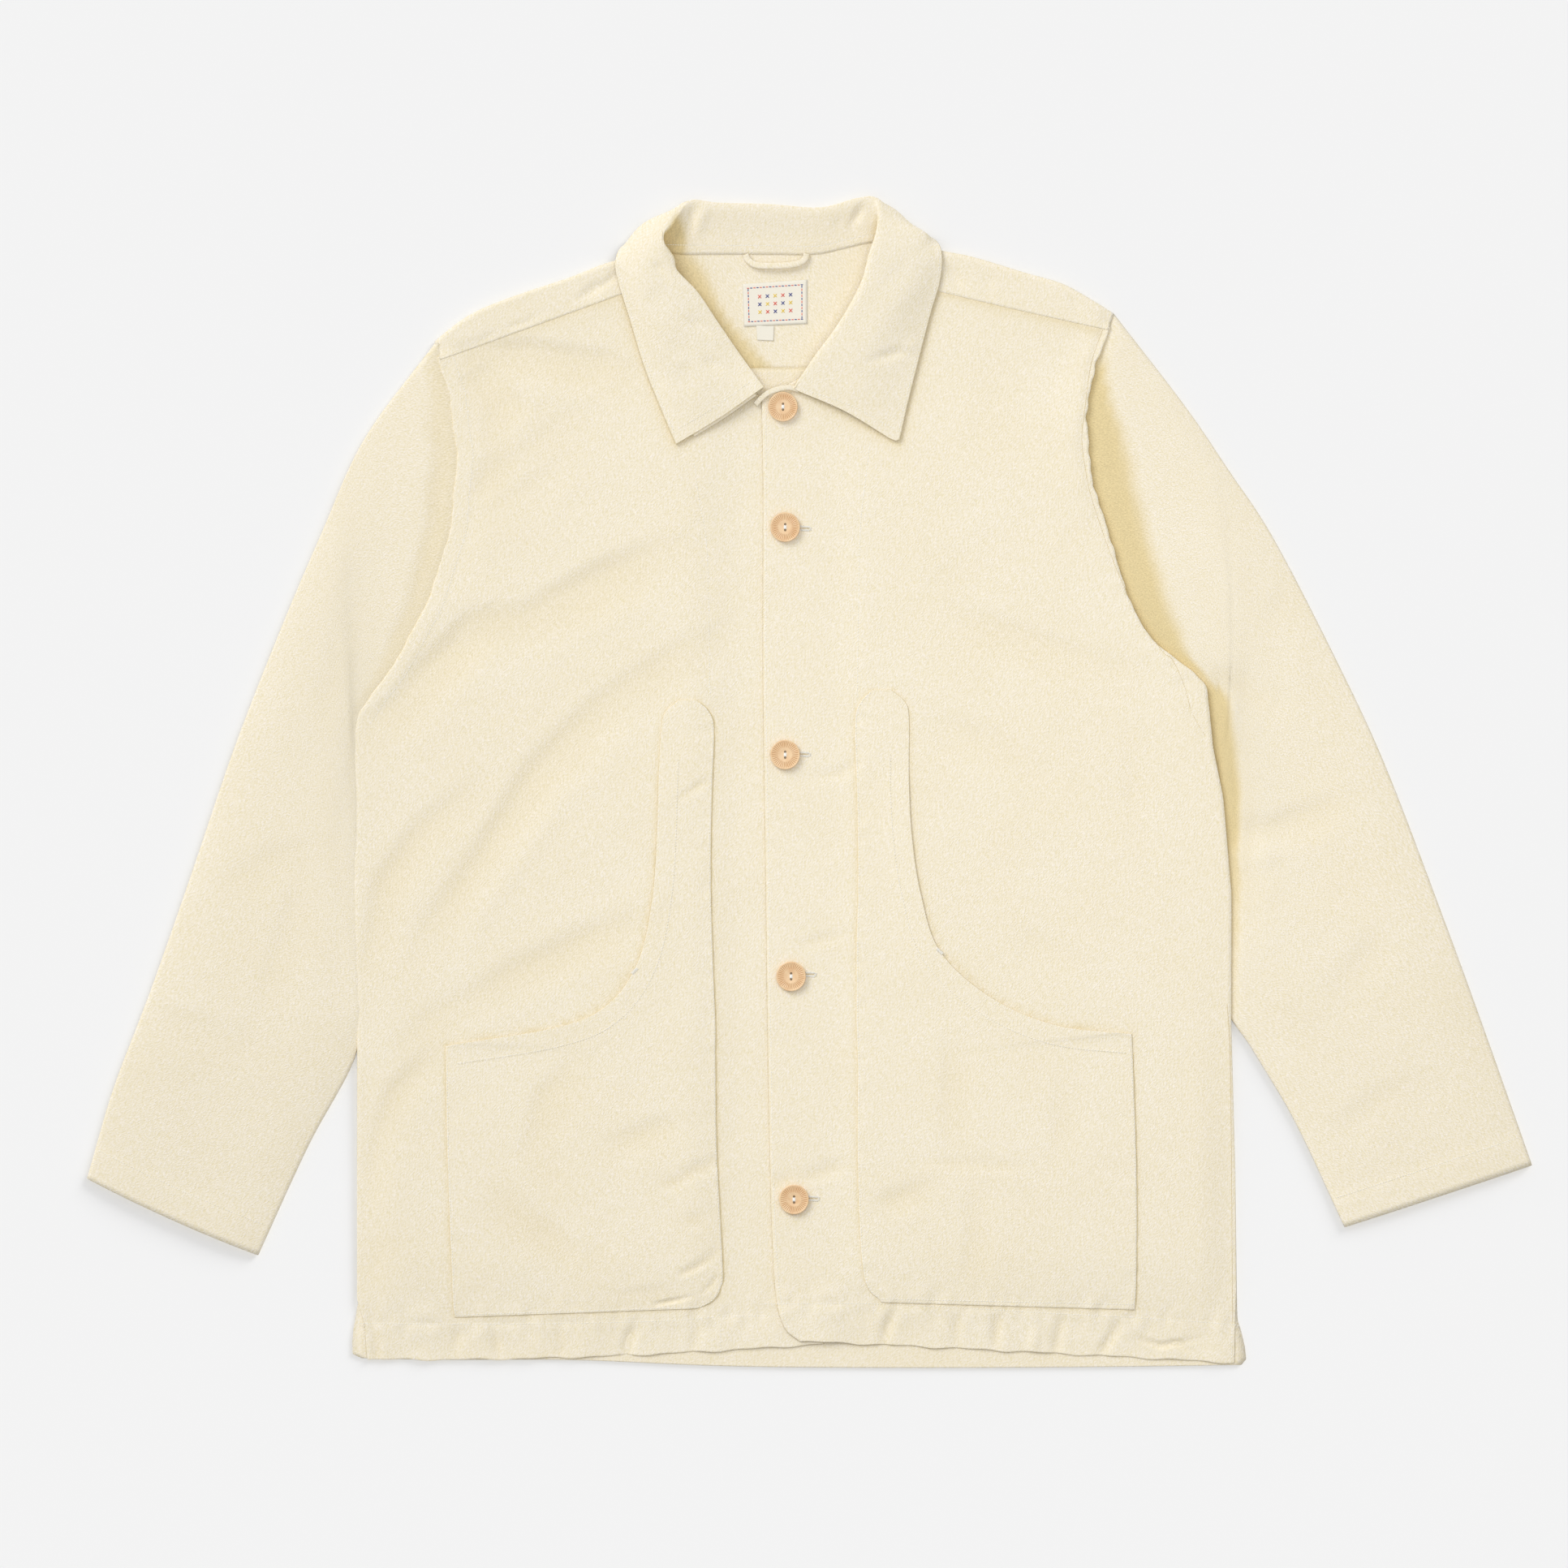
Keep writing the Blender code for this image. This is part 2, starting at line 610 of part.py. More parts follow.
def make_loop(parts, finish):
    """The hanger loop: a narrow strip on the inside of the yoke, under the neck seam."""
    def place(across, along):
        near = between([strip.near for strip in LOOP], along)
        far = between([strip.far for strip in LOOP], along)
        point = mix(near, far, across)
        return point.x, point.y, 2 * CLOTH + REST

    skin = mapped_grid(1, LOOP_STEPS * (len(LOOP) - 1), place)
    face_up(skin)
    made = object_of(skin, "hanger_loop", parts, finish)
    thicken(made, CLOTH)


def make_patch(name, corners, parts, finish):
    """A small flat woven piece on the inside of the yoke, from its four corners."""
    def place(across, along):
        upper = mix(Vector(corners[0]), Vector(corners[1]), across)
        lower = mix(Vector(corners[3]), Vector(corners[2]), across)
        point = mix(upper, lower, along)
        return point.x, point.y, CLOTH + REST + LABEL_CLOTH

    skin = mapped_grid(2, 2, place)
    face_up(skin)
    made = object_of(skin, name, parts, finish)
    thicken(made, LABEL_CLOTH)


def make_hole_cutter(name, centre, floor, cutters):
    """Two pins that cut the thread holes of one button."""
    pins = bmesh.new()
    for side in (-1, 1):
        spot = Vector((centre[0], centre[1] + side * HOLE_OFFSET, floor + CLOTH)) * MM
        pin = bmesh.ops.create_cone(
            pins, cap_ends=True, segments=PIN_STEPS, depth=2 * BUTTON_PROFILE[2][1] * MM,
            radius1=HOLE_RADIUS * MM, radius2=HOLE_RADIUS * MM,
        )
        bmesh.ops.translate(pins, verts=pin["verts"], vec=spot)
    mesh = bpy.data.meshes.new(name)
    pins.to_mesh(mesh)
    pins.free()
    made = bpy.data.objects.new(name, mesh)
    made.hide_render = True
    made.display_type = "WIRE"
    cutters.objects.link(made)
    return made


def make_button(number, centre, parts, cutters, finish):
    """A turned button with a raised rim and two thread holes."""
    name = f"button_{number}"
    floor = OVER_LAP_TOP + REST
    profile = bmesh.new()
    corners = [profile.verts.new(Vector((r, 0, z)) * MM) for r, z in BUTTON_PROFILE]
    for near, far in zip(corners, corners[1:]):
        profile.edges.new((near, far))
    made = object_of(profile, name, parts, finish)
    made.location = Vector((centre[0], centre[1], floor)) * MM
    turn = made.modifiers.new("turn", "SCREW")
    turn.steps = turn.render_steps = BUTTON_STEPS
    turn.use_merge_vertices = True
    turn.merge_threshold = 0.00001
    turn.use_smooth_shade = True
    holes = made.modifiers.new("holes", "BOOLEAN")
    holes.operation = "DIFFERENCE"
    holes.solver = "EXACT"
    holes.object = make_hole_cutter(name + "_pins", centre, floor, cutters)


def build():
    clear_scene()
    parts = new_collection("jacket")
    cutters = new_collection("cutters")
    cutters.hide_render = True
    cloth = material("cotton", CREAM, 0.9)
    shaded = material("cotton_inside", CREAM_SHADE, 0.9)
    tape = material("label_cloth", OFF_WHITE, 0.8)
    horn = material("button_resin", TAN, 0.35)
    make_back(parts, shaded)
    make_yoke(parts, cloth)
    make_sleeve("sleeve_right", SLEEVE_RIGHT, parts, cloth)
    make_sleeve("sleeve_left", SLEEVE_LEFT, parts, cloth)
    make_front("front_right", FRONT_RIGHT, parts, cloth)
    make_front("front_left", FRONT_LEFT, parts, cloth)
    make_pocket("pocket_right", POCKET_RIGHT, FRONT_RIGHT, parts, cloth)
    make_pocket("pocket_left", POCKET_LEFT, FRONT_LEFT, parts, cloth)
    make_collar(parts, cloth)
    make_loop(parts, cloth)
    make_patch("neck_label", LABEL, parts, tape)
    make_patch("size_tag", SIZE_TAG, parts, tape)
    for number, centre in enumerate(BUTTON_CENTRES, start=1):
        make_button(number, centre, parts, cutters, horn)


build()
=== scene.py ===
"""A cream cotton work jacket, laid flat on its back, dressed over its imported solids.

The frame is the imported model's: x to the wearer's left, y to the collar, z up from the
surface. Sizes in the tables are millimetres; meshes are in metres.
"""

import logging
import math
from dataclasses import dataclass, field
from enum import Enum
from typing import Callable, NamedTuple, Sequence

import bmesh
import bpy
import numpy as np
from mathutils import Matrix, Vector, noise


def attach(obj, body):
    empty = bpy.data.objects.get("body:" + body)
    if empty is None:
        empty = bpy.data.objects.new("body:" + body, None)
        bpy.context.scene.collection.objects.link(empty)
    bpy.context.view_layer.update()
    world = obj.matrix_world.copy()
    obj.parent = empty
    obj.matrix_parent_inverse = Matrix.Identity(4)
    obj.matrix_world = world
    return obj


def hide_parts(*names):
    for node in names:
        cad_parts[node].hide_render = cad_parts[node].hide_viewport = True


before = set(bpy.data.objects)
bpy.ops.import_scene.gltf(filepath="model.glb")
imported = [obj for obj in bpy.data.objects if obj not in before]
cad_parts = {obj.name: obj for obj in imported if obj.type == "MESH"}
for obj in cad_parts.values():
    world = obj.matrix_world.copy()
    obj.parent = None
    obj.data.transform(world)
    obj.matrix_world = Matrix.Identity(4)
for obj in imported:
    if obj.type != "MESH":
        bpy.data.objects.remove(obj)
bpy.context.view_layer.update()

LOG = logging.getLogger("jacket")
Array = np.ndarray
Mesh = bmesh.types.BMesh
Material = bpy.types.Material
Node = bpy.types.Node
Object = bpy.types.Object
Socket = bpy.types.NodeSocket
Tree = bpy.types.NodeTree
Objects = Sequence[Object]
Point = tuple[float, ...]
Line = tuple[Point, ...]

MM = 0.001             # metres in a millimetre
TINY = 1e-5
MERGE = 1e-6           # metres between points that become one
ROOT = "root"          # the only body

# ---- sizes shared by the pieces, in millimetres ----
CLOTH = 0.9            # wall of a cloth shell
COLLAR_CLOTH = 1.3
SOLID_CLOTH = 1.2      # wall of the solids that the shells follow
SEAM = 0.5             # space between two solids at a seam
LAPPED = 2.2           # how far a panel is lapped over its neighbour at a seam
CROWN = 5.8            # top of a front, away from its edges
YOKE_TOP = 4.4         # top of a front where the yoke meets it
UNDER_LAP_TOP = 3.0    # top of the right front under the lap
OVER_LAP_TOP = 4.8     # top of the left front on the lap
HEM_TOP = 2.8          # top of a front at its hem
SIDE_FADE = 26.0       # width in which a front rises from its outer edge
HEM_FADE = 70.0        # height in which it rises from its hem
SLEEVE_EDGE = 3.4      # top of a sleeve beside its folds
FOLD_INSET = 3.0       # from the shoulder fold to where the yoke lies flat
LAP_UNDER = (-85.0, -45.0)   # x where the right front goes under the lap
LAP_OVER = (14.0, 42.0)      # x where the left front comes down from the lap
LAP_EDGE = -32.0       # x of the lap's free edge
CHEST = (200.0, 290.0)       # y where the fronts go down to the yoke
SLOW_SIDE = 2.9        # how much wider a large crease is on the side where it runs out
SOFTENING = 1.25       # the same on its steep side
STEEP_SIDE = (-0.67, 0.74)   # the way that tells the two sides apart
DEEPENING = 1.35       # how much deeper a large crease is than its table says
SHARPENING = 1.7       # the same for a small crease
PUCKER = 5.5           # creases up to this half width are small ones
PUCKER_SIZE = (7.5, 16.0)    # of a sewn line's puckers, along it and across it
SINK_REACH = 2.2       # half width of a sewn line's own sink
RIM = 0.45             # width of a free edge's turned-down rim
RIM_DROP = 0.36        # how far a rim goes down
EDGE_SHADE = 0.62      # how much painted shade a rim gets
EDGE_RISE = 0.06       # height of a seam's thread over the cloth
SLANT = math.radians(38)     # of the crumples of washed cotton
CRUMPLES = ((0.34, 62.0, 1.3), (0.15, 21.0, 5.1))   # height, size and seed, along the slant
FINE_CRUMPLES = (0.05, 8.5, 3.3)                    # the same, not drawn out
# Height, length and start of the waves of the fronts' armhole edges and of their hems.
ARMHOLE_WAVES = ((0.6, 1.9, 0), (0.5, 3.1, 1), (0.7, 7.3, 0))
HEM_WAVES = ((0.5, 7.7, 0), (0.35, 3.9, 2))


class Hand(Enum):
    """Which of the wearer's sides a piece is on, as the sign of its x."""

    RIGHT = -1
    LEFT = 1


class Lying(Enum):
    """What a section of the collar lies on."""

    FRONT = "front"
    FLOOR = "floor"


class Row(NamedTuple):
    """A row of a front: outer, middle and inner point, and the height of its outer edge."""

    outer: Point
    middle: Point
    inner: Point
    edge_top: float


class Level(NamedTuple):
    """A row of the back: left end, middle, right end."""

    left: Point
    middle: Point
    right: Point


class Rung(NamedTuple):
    """A row of a sleeve: outer fold, middle, inner fold, height along its middle."""

    outer: Point
    middle: Point
    inner: Point
    crown: float


class Strip(NamedTuple):
    """A row of a pocket: its end near the front edge and its end near the side."""

    near: Point
    far: Point


class Column(NamedTuple):
    """A column of the yoke: x at the back seam, shoulder fold, its part of the front's edge."""

    back_x: float
    fold: Point
    front: float | None


class Section(NamedTuple):
    """A section of the collar, from neck seam over the roll to the free edge."""

    on: Lying
    neck: Point
    roll: Point
    leaf: Point
    edge: Point
    fold: float


class Crease(NamedTuple):
    """A soft trough (rise below 0) or ridge along a line through points."""

    line: Line
    half_width: float
    rise: float


def creased(*rows: tuple) -> tuple[Crease, ...]:
    """Creases from rows of half width, rise and the line's points."""
    return tuple(Crease(tuple(points), half_width, rise) for half_width, rise, *points in rows)


class Sewn(NamedTuple):
    """A stitched line that draws the cloth in: its points, how deep, how puckered, how wide."""

    line: Line
    sink: float
    pucker: float
    reach: float


# ---- curves and fields ----
def smooth(value: Array, start: float, stop: float) -> Array:
    """0 before start and 1 after stop, with a soft step between them."""
    part = np.clip((value - start) / (stop - start), 0.0, 1.0)
    return part * part * (3 - 2 * part)


def mix(low: Array, high: Array, part: Array) -> Array:
    """Straight blend from low to high."""
    return low + (high - low) * part


def bow(start: Array, middle: Array, stop: Array, part: Array) -> Array:
    """Points of the parabola through three points.

    Args:
        start, middle, stop: one point, or one point for each part.
        part: how far along each wanted point is, from 0 to 1.

    Returns:
        One point for each part.
    """
    way = np.asarray(part, float)[:, None]
    start, middle, stop = (np.asarray(p, float) for p in (start, middle, stop))
    on_start, on_stop = (1 - way) * (1 - 2 * way), way * (2 * way - 1)
    return on_start * start + 4 * way * (1 - way) * middle + on_stop * stop


def pick(points: Array, index: Array) -> Array:
    """The points at index, one for each entry, from a shared or a per-entry table."""
    if points.ndim == 2:
        return points[index]
    return points[index, np.arange(len(index))]


def between(points: Sequence[Point] | Array, way: Array, corners: Sequence[int] = ()) -> Array:
    """Points of the smooth curve through table points.

    Args:
        points: the table, K by D, or K by N by D with a curve for each entry of way.
        way: N positions from 0 to 1, evenly by table point.
        corners: table points where the curve turns sharply.

    Returns:
        N points.
    """
    table = np.asarray(points, float)
    spans = len(table) - 1
    place = np.clip(way, 0.0, 1.0) * spans
    first = np.minimum(place.astype(int), spans - 1)
    part = (place - first)[:, None]
    near, far = pick(table, first), pick(table, first + 1)
    is_start = ((first == 0) | np.isin(first, corners))[:, None]
    is_stop = ((first + 1 == spans) | np.isin(first + 1, corners))[:, None]
    before = np.where(is_start, 2 * near - far, pick(table, np.maximum(first - 1, 0)))
    after = np.where(is_stop, 2 * far - near, pick(table, np.minimum(first + 2, spans)))
    slope_near, slope_far = (far - before) / 2, (after - near) / 2
    square, cube = part**2, part**3
    return (
        near * (2 * cube - 3 * square + 1)
        + slope_near * (cube - 2 * square + part)
        + far * (3 * square - 2 * cube)
        + slope_far * (cube - square)
    )


def straight(points: Sequence[Point], way: Array) -> Array:
    """Points of the straight runs through table points, evenly by table point."""
    table = np.asarray(points, float)
    spans = len(table) - 1
    place = way * spans
    first = np.minimum((place + TINY).astype(int), spans - 1)
    return mix(table[first], table[first + 1], (place - first)[:, None])


def beside(line: Sequence[Point], plan: Array) -> tuple[Array, Array, Array]:
    """How near plan points are to a line of straight runs.

    Args:
        line: the line's points.
        plan: N points.

    Returns:
        The distance of each point, how far along the line its nearest place is, and the
        way there from that place.
    """
    table = np.asarray(line, float)
    nearest = np.full(len(plan), np.inf)
    along = np.zeros(len(plan))
    offset = np.zeros_like(plan)
    gone = 0.0
    for start, stop in zip(table, table[1:]):
        way = stop - start
        length = float(np.hypot(*way))
        part = np.clip((plan - start) @ way / length**2, 0.0, 1.0)
        gap = plan - start - part[:, None] * way
        distance = np.hypot(*gap.T)
        closer = distance < nearest
        offset = np.where(closer[:, None], gap, offset)
        nearest = np.where(closer, distance, nearest)
        along = np.where(closer, gone + part * length, along)
        gone += length
    return nearest, along / gone, offset


def rough(plan: Array, size: float, seed: float) -> Array:
    """Even noise from -1 to 1 over plan points, with lumps of about that size."""
    return np.array([noise.noise((x / size, y / size, seed)) for x, y in plan])


def crumpled(plan: Array, lean: float) -> Array:
    """Small uneven undulation of washed cotton, drawn out along a slant.

    Args:
        plan: N plan points.
        lean: -1 for a slant up to the right, 1 for one up to the left.

    Returns:
        The added heights.
    """
    angle = SLANT * -lean
    turn = np.array([[math.cos(angle), -math.sin(angle)], [math.sin(angle), math.cos(angle)]])
    drawn = (plan @ turn) * (0.55, 1.25)
    added = sum(height * rough(drawn, size, seed) for height, size, seed in CRUMPLES)
    height, size, seed = FINE_CRUMPLES
    return added + height * rough(plan, size, seed)


def waves(way: Array, parts: Sequence[Point]) -> Array:
    """Sum of sine waves, each by its height, its length and where it starts."""
    return sum(height * np.sin(way / length + start) for height, length, start in parts)


def folded(creases: Sequence[Crease], plan: Array) -> Array:
    """Height that the creases add at plan points.

    Each fades out towards its ends. A large one is steep on the side that looks down and
    to the wearer's left, and runs out slowly on the other side.
    """
    added = np.zeros(len(plan))
    for number, crease in enumerate(creases):
        distance, along, offset = beside(crease.line, plan)
        wander = 1 + 0.35 * math.sin(2.1 * number + 1)
        slow = (offset @ STEEP_SIDE < 0) == (crease.rise < 0)
        is_large = crease.half_width > PUCKER
        soft = np.where(slow, SLOW_SIDE, SOFTENING) if is_large else 1.0
        across = np.clip(distance / (crease.half_width * soft), 0, 1)
        ends = np.sin(np.pi * np.clip(along * 0.94 + 0.03, 0, 1)) ** 0.6
        peak = 1 + 0.25 * np.sin(along * 5.0 * wander + number)
        deeper = DEEPENING if is_large else SHARPENING
        added += crease.rise * deeper * (1 - across**2) ** 2 * ends * peak
    return added


def length_of(line: Sequence[Point]) -> float:
    """Length of a plan line of straight runs."""
    return float(np.hypot(*np.diff(np.asarray(line, float), axis=0).T).sum())


def run_of(path: Array) -> Array:
    """How far along a path each of its points is."""
    return np.concatenate([[0], np.cumsum(np.linalg.norm(np.diff(path, axis=0), axis=1))])


def drawn_in(seams: Sequence[Sewn], plan: Array) -> Array:
    """Height that stitched lines add: a narrow sink, and small puckers beside it."""
    added = np.zeros(len(plan))
    long, wide = PUCKER_SIZE
    for number, seam in enumerate(seams):
        distance, along, _ = beside(seam.line, plan)
        length = length_of(seam.line)
        ripple = np.array([
            noise.noise((part * length / long, off / wide, 3.7 * number))
            for part, off in zip(along, distance)
        ])
        added -= seam.sink * np.exp(-((distance / SINK_REACH) ** 2))
        added += seam.pucker * ripple * np.exp(-((distance / seam.reach) ** 2))
    return added


def tucked(
    way: Array, steps: int, inset: Array | float, ends: tuple[bool, bool] = (True, True),
) -> tuple[Array, Array]:
    """Crowd the grid's outermost steps together at a free edge, for a turned-down rim.

    Args:
        way: even grid positions from 0 to 1.
        steps: number of steps in the grid.
        inset: width of the rim, as a part of the whole.
        ends: whether the first and the last edge are free.

    Returns:
        The new positions, and 1 on a free edge and 0 inside it.
    """
    place = way * steps
    first, last = (inset if free else 1.0 / steps for free in ends)
    inner = first + (place - 1) / (steps - 2) * (1 - first - last)
    beyond = np.where(place > steps - 1, 1 - (steps - place) * last, inner)
    moved = np.where(place < 1, place * first, beyond)
    on_first = np.clip(1 - place, 0, 1) * ends[0]
    on_last = np.clip(place - steps + 1, 0, 1) * ends[1]
    return moved, np.maximum(on_first, on_last)


def rounded(first: Array, second: Array, radius: float) -> tuple[Array, Array]:
    """Move points out of a square corner, so that the corner becomes round.

    Args:
        first, second: distances from the corner's two edges.
        radius: of the round corner.

    Returns:
        The new distances.
    """
    one, other = np.clip(1 - first / radius, 0, 1), np.clip(1 - second / radius, 0, 1)
    moved_one = (1 - one * np.sqrt(1 - other**2 / 2)) * radius
    moved_other = (1 - other * np.sqrt(1 - one**2 / 2)) * radius
    return np.where(one > 0, moved_one, first), np.where(other > 0, moved_other, second)


def smoothed(line: Sequence[Point], step: float = 2.0) -> Array:
    """A smooth plan line through points, about one point each step millimetres."""
    return between(line, np.linspace(0, 1, max(int(length_of(line) / step), 2)))


def offset_line(line: Array, distance: float) -> Array:
    """A plan line moved sideways, to the left of its own direction."""
    way = np.gradient(line, axis=0)
    way /= np.linalg.norm(way, axis=1)[:, None]
    return line + distance * np.stack([-way[:, 1], way[:, 0]], axis=1)


def on_top(plan: Array, height: Array) -> Array:
    """Plan points and heights as one array of points in space."""
    return np.column_stack([plan, height])


# ---- meshes ----
@dataclass
class Skin:
    """Where a grid's points go: their places, the cloth's own coordinates, and how much
    painted shade each gets, from 0 to 1."""

    points: Array
    cloth: Array
    depth: Array


Placer = Callable[[Array, Array], Skin]


def face_up(mesh: Mesh) -> None:
    """Turn an outer skin so that its highest face looks up, and so the rest look out."""
    bmesh.ops.recalc_face_normals(mesh, faces=mesh.faces)
    mesh.normal_update()
    highest = max(mesh.faces, key=lambda face: face.calc_center_median().z)
    if highest.normal.z < 0:
        bmesh.ops.reverse_faces(mesh, faces=mesh.faces)


def linked(name: str, data: bpy.types.ID) -> Object:
    """Make an object of its data and link it to the scene."""
    made = bpy.data.objects.new(name, data)
    bpy.context.scene.collection.objects.link(made)
    return made


def object_of(mesh: Mesh, name: str, material: Material) -> Object:
    """Make a smooth-shaded object of a mesh and link it to the scene."""
    data = bpy.data.meshes.new(name)
    mesh.to_mesh(data)
    mesh.free()
    data.materials.append(material)
    data.shade_smooth()
    return linked(name, data)


def dressed(made: Object, node: str) -> Object:
    """Let a piece stand for a solid, on the only body."""
    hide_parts(node)
    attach(made, ROOT)
    return made


def cloth_piece(
    name: str,
    steps: tuple[int, int],
    place: Placer,
    material: Material,
    wall: float = CLOTH,
    closed: bool = False,
    keep: Callable[[float, float], bool] | None = None,
) -> Object:
    """Build one shell of cloth from a grid.

    Args:
        name: the piece's name.
        steps: quads across and along.
        place: gives the skin for grid positions from 0 to 1.
        material: its finish.
        wall: thickness in millimetres, inwards from the skin.
        closed: joins the two ends across, as on a tube.
        keep: says whether the face round a grid position stays.

    Returns:
        The object, with its wall.
    """
    mesh = bmesh.new()
    bmesh.ops.create_grid(mesh, x_segments=steps[0], y_segments=steps[1], size=0.5)
    if keep:
        middles = ((face, face.calc_center_median()) for face in mesh.faces)
        holes = [face for face, at in middles if not keep(at.x + 0.5, at.y + 0.5)]
        bmesh.ops.delete(mesh, geom=holes, context="FACES")
    grid = np.array([vert.co[:2] for vert in mesh.verts]) + 0.5
    skin = place(grid[:, 0], grid[:, 1])
    uv = mesh.loops.layers.uv.new("cloth")
    # The depth attribute carries each point's painted shade to the cotton's material.
    depth = mesh.verts.layers.float.new("depth")
    mesh.verts.index_update()
    for vert, point, deep in zip(mesh.verts, skin.points * MM, skin.depth):
        vert.co = point
        vert[depth] = deep
    cloth = skin.cloth * MM
    for face in mesh.faces:
        for loop in face.loops:
            loop[uv].uv = cloth[loop.vert.index]
    if closed:
        bmesh.ops.remove_doubles(mesh, verts=mesh.verts, dist=MERGE)
    face_up(mesh)
    made = object_of(mesh, name, material)
    solid = made.modifiers.new("wall", "SOLIDIFY")
    solid.thickness = wall * MM
    solid.offset = -1
    solid.use_even_offset = False
    solid.use_quality_normals = True
    LOG.info("%s: %d quads", name, steps[0] * steps[1])
    return made


class ClothPiece:
    """A shell of cloth that stands for one solid. A subclass says where its grid goes."""

    node: str
    steps: tuple[int, int]
    wall: float = CLOTH
    closed: bool = False
    slot: str = "cotton"
    keep: Callable[[float, float], bool] | None = None

    def build(self, material: Material) -> Object:
        """Make the piece.

        Args:
            material: its finish.

        Returns:
            The object, in the place of its solid.
        """
        made = cloth_piece(
            self.node + "_cloth", self.steps, self.place, material, self.wall, self.closed, self.keep
        )
        return dressed(made, self.node)


# ---- shader groups and finishes ----
class Graph:
    """A node tree that is filled by name."""

    def __init__(self, tree: Tree) -> None:
        """Keep the tree to fill."""
        self.tree = tree

    def add(self, kind: str, inputs: dict | None = None, **settings: object) -> Node:
        """Add a node.

        Args:
            kind: its type name.
            inputs: socket name or number to a value, or to the output that feeds it.
            settings: properties of the node.

        Returns:
            The node.
        """
        node = self.tree.nodes.new(kind)
        for key, value in settings.items():
            setattr(node, key, value)
        self.feed(node, inputs or {})
        return node

    def feed(self, node: Node, inputs: dict) -> None:
        """Give inputs of a node a value each, or the output that feeds them."""
        for key, value in inputs.items():
            socket = node.inputs[key]
            if isinstance(value, Socket):
                self.tree.links.new(value, socket)
            else:
                socket.default_value = value

    def scaled(self, vector: object, scale: Point) -> Socket:
        """Output of a vector's product with three numbers."""
        node = self.add("ShaderNodeVectorMath", {0: vector, 1: scale}, operation="MULTIPLY")
        return node.outputs[0]

    def sum_of(self, value: object, factor: float, added: object) -> Socket:
        """Output of value times factor, plus what is added."""
        inputs = {0: value, 1: factor, 2: added}
        return self.add("ShaderNodeMath", inputs, operation="MULTIPLY_ADD").outputs[0]

    def noise(self, vector: object, scale: float, **settings: float) -> Socket:
        """Output of a noise texture; settings are its other inputs, by name."""
        inputs = {"Vector": vector, "Scale": scale, **settings}
        return self.add("ShaderNodeTexNoise", inputs).outputs[0]

    def math(self, operation: str, first: object, second: object = 0.0) -> Socket:
        """Output of one arithmetic node."""
        return self.add("ShaderNodeMath", {0: first, 1: second}, operation=operation).outputs[0]

    def blend(self, part: object, low: object, high: object) -> Socket:
        """Output of one colour mix."""
        node = self.add("ShaderNodeMix", {0: part, 6: low, 7: high}, data_type="RGBA")
        return node.outputs[2]

    def span(self, value: object, low: Point, high: Point = (0.0, 1.0)) -> Socket:
        """Output of one range map, from the low pair to the high pair."""
        inputs = {0: value, 1: low[0], 2: low[1], 3: high[0], 4: high[1]}
        return self.add("ShaderNodeMapRange", inputs).outputs[0]


def new_group(
    name: str, inputs: Sequence[tuple[str, str, object]], outputs: Sequence[tuple[str, str]],
) -> Graph:
    """Make a shader node group with named sockets.

    Args:
        name: the group's name.
        inputs: name, socket type and default of each input.
        outputs: name and socket type of each output.

    Returns:
        Its tree, with the two end nodes.
    """
    tree = bpy.data.node_groups.new(name, "ShaderNodeTree")
    for label, kind, value in inputs:
        socket = tree.interface.new_socket(label, in_out="INPUT", socket_type=kind)
        if value is not None:
            socket.default_value = value
    for label, kind in outputs:
        tree.interface.new_socket(label, in_out="OUTPUT", socket_type=kind)
    graph = Graph(tree)
    graph.add("NodeGroupInput", name="ends_in")
    graph.add("NodeGroupOutput", name="ends_out")
    return graph


def slub_weave() -> Tree:
    """Weave of slub yarn with a slanting grain.

    Returns:
        A group that takes cloth coordinates in metres, the pitch of the grain in
        millimetres and its slant, and gives a height, a fine tone and a broad tone.
    """
    found = bpy.data.node_groups.get("slub_weave")
    if found:
        return found
    number, vector = "NodeSocketFloat", "NodeSocketVector"
    graph = new_group(
        "slub_weave",
        [("Cloth", vector, None), ("Pitch", number, 1.7), ("Slant", number, 0.7)],
        [("Height", number), ("Fine", number), ("Broad", number)],
    )
    ends = graph.tree.nodes["ends_in"].outputs
    in_mm = graph.add(
        "ShaderNodeVectorMath", {0: ends["Cloth"], "Scale": 1000.0}, operation="SCALE"
    ).outputs[0]
    turned = graph.add(
        "ShaderNodeVectorRotate", {"Vector": in_mm, "Angle": ends["Slant"]}, rotation_type="Z_AXIS"
    ).outputs[0]
    wander = graph.noise(turned, 0.22, Detail=2.0)
    along = graph.add("ShaderNodeSeparateXYZ", {0: turned}).outputs[1]
    pushed = graph.math("ADD", along, graph.math("MULTIPLY", wander, 5.0))
    across = graph.math("DIVIDE", pushed, ends["Pitch"])
    rib = graph.math("SINE", graph.math("MULTIPLY", across, 2 * math.pi))
    drawn = graph.scaled(in_mm, (0.80, 0.13, 1.0))
    slub = graph.noise(drawn, 1.2, Detail=2.0, Roughness=0.5, Distortion=0.25)
    crossed = graph.scaled(turned, (0.36, 0.92, 1.0))
    crepe = graph.noise(crossed, 1.4, Detail=2.0, Roughness=0.75)
    broken = graph.math("MULTIPLY", rib, graph.span(crepe, (0.35, 0.65)))
    grain = graph.sum_of(broken, 0.05, graph.math("MULTIPLY", slub, 0.38))
    height = graph.sum_of(crepe, 1.02, grain)
    graph.feed(graph.tree.nodes["ends_out"], {
        "Height": height,
        "Fine": graph.span(height, (0.52, 0.90)),
        "Broad": graph.noise(in_mm, 0.02, Detail=3.0),
    })
    return graph.tree


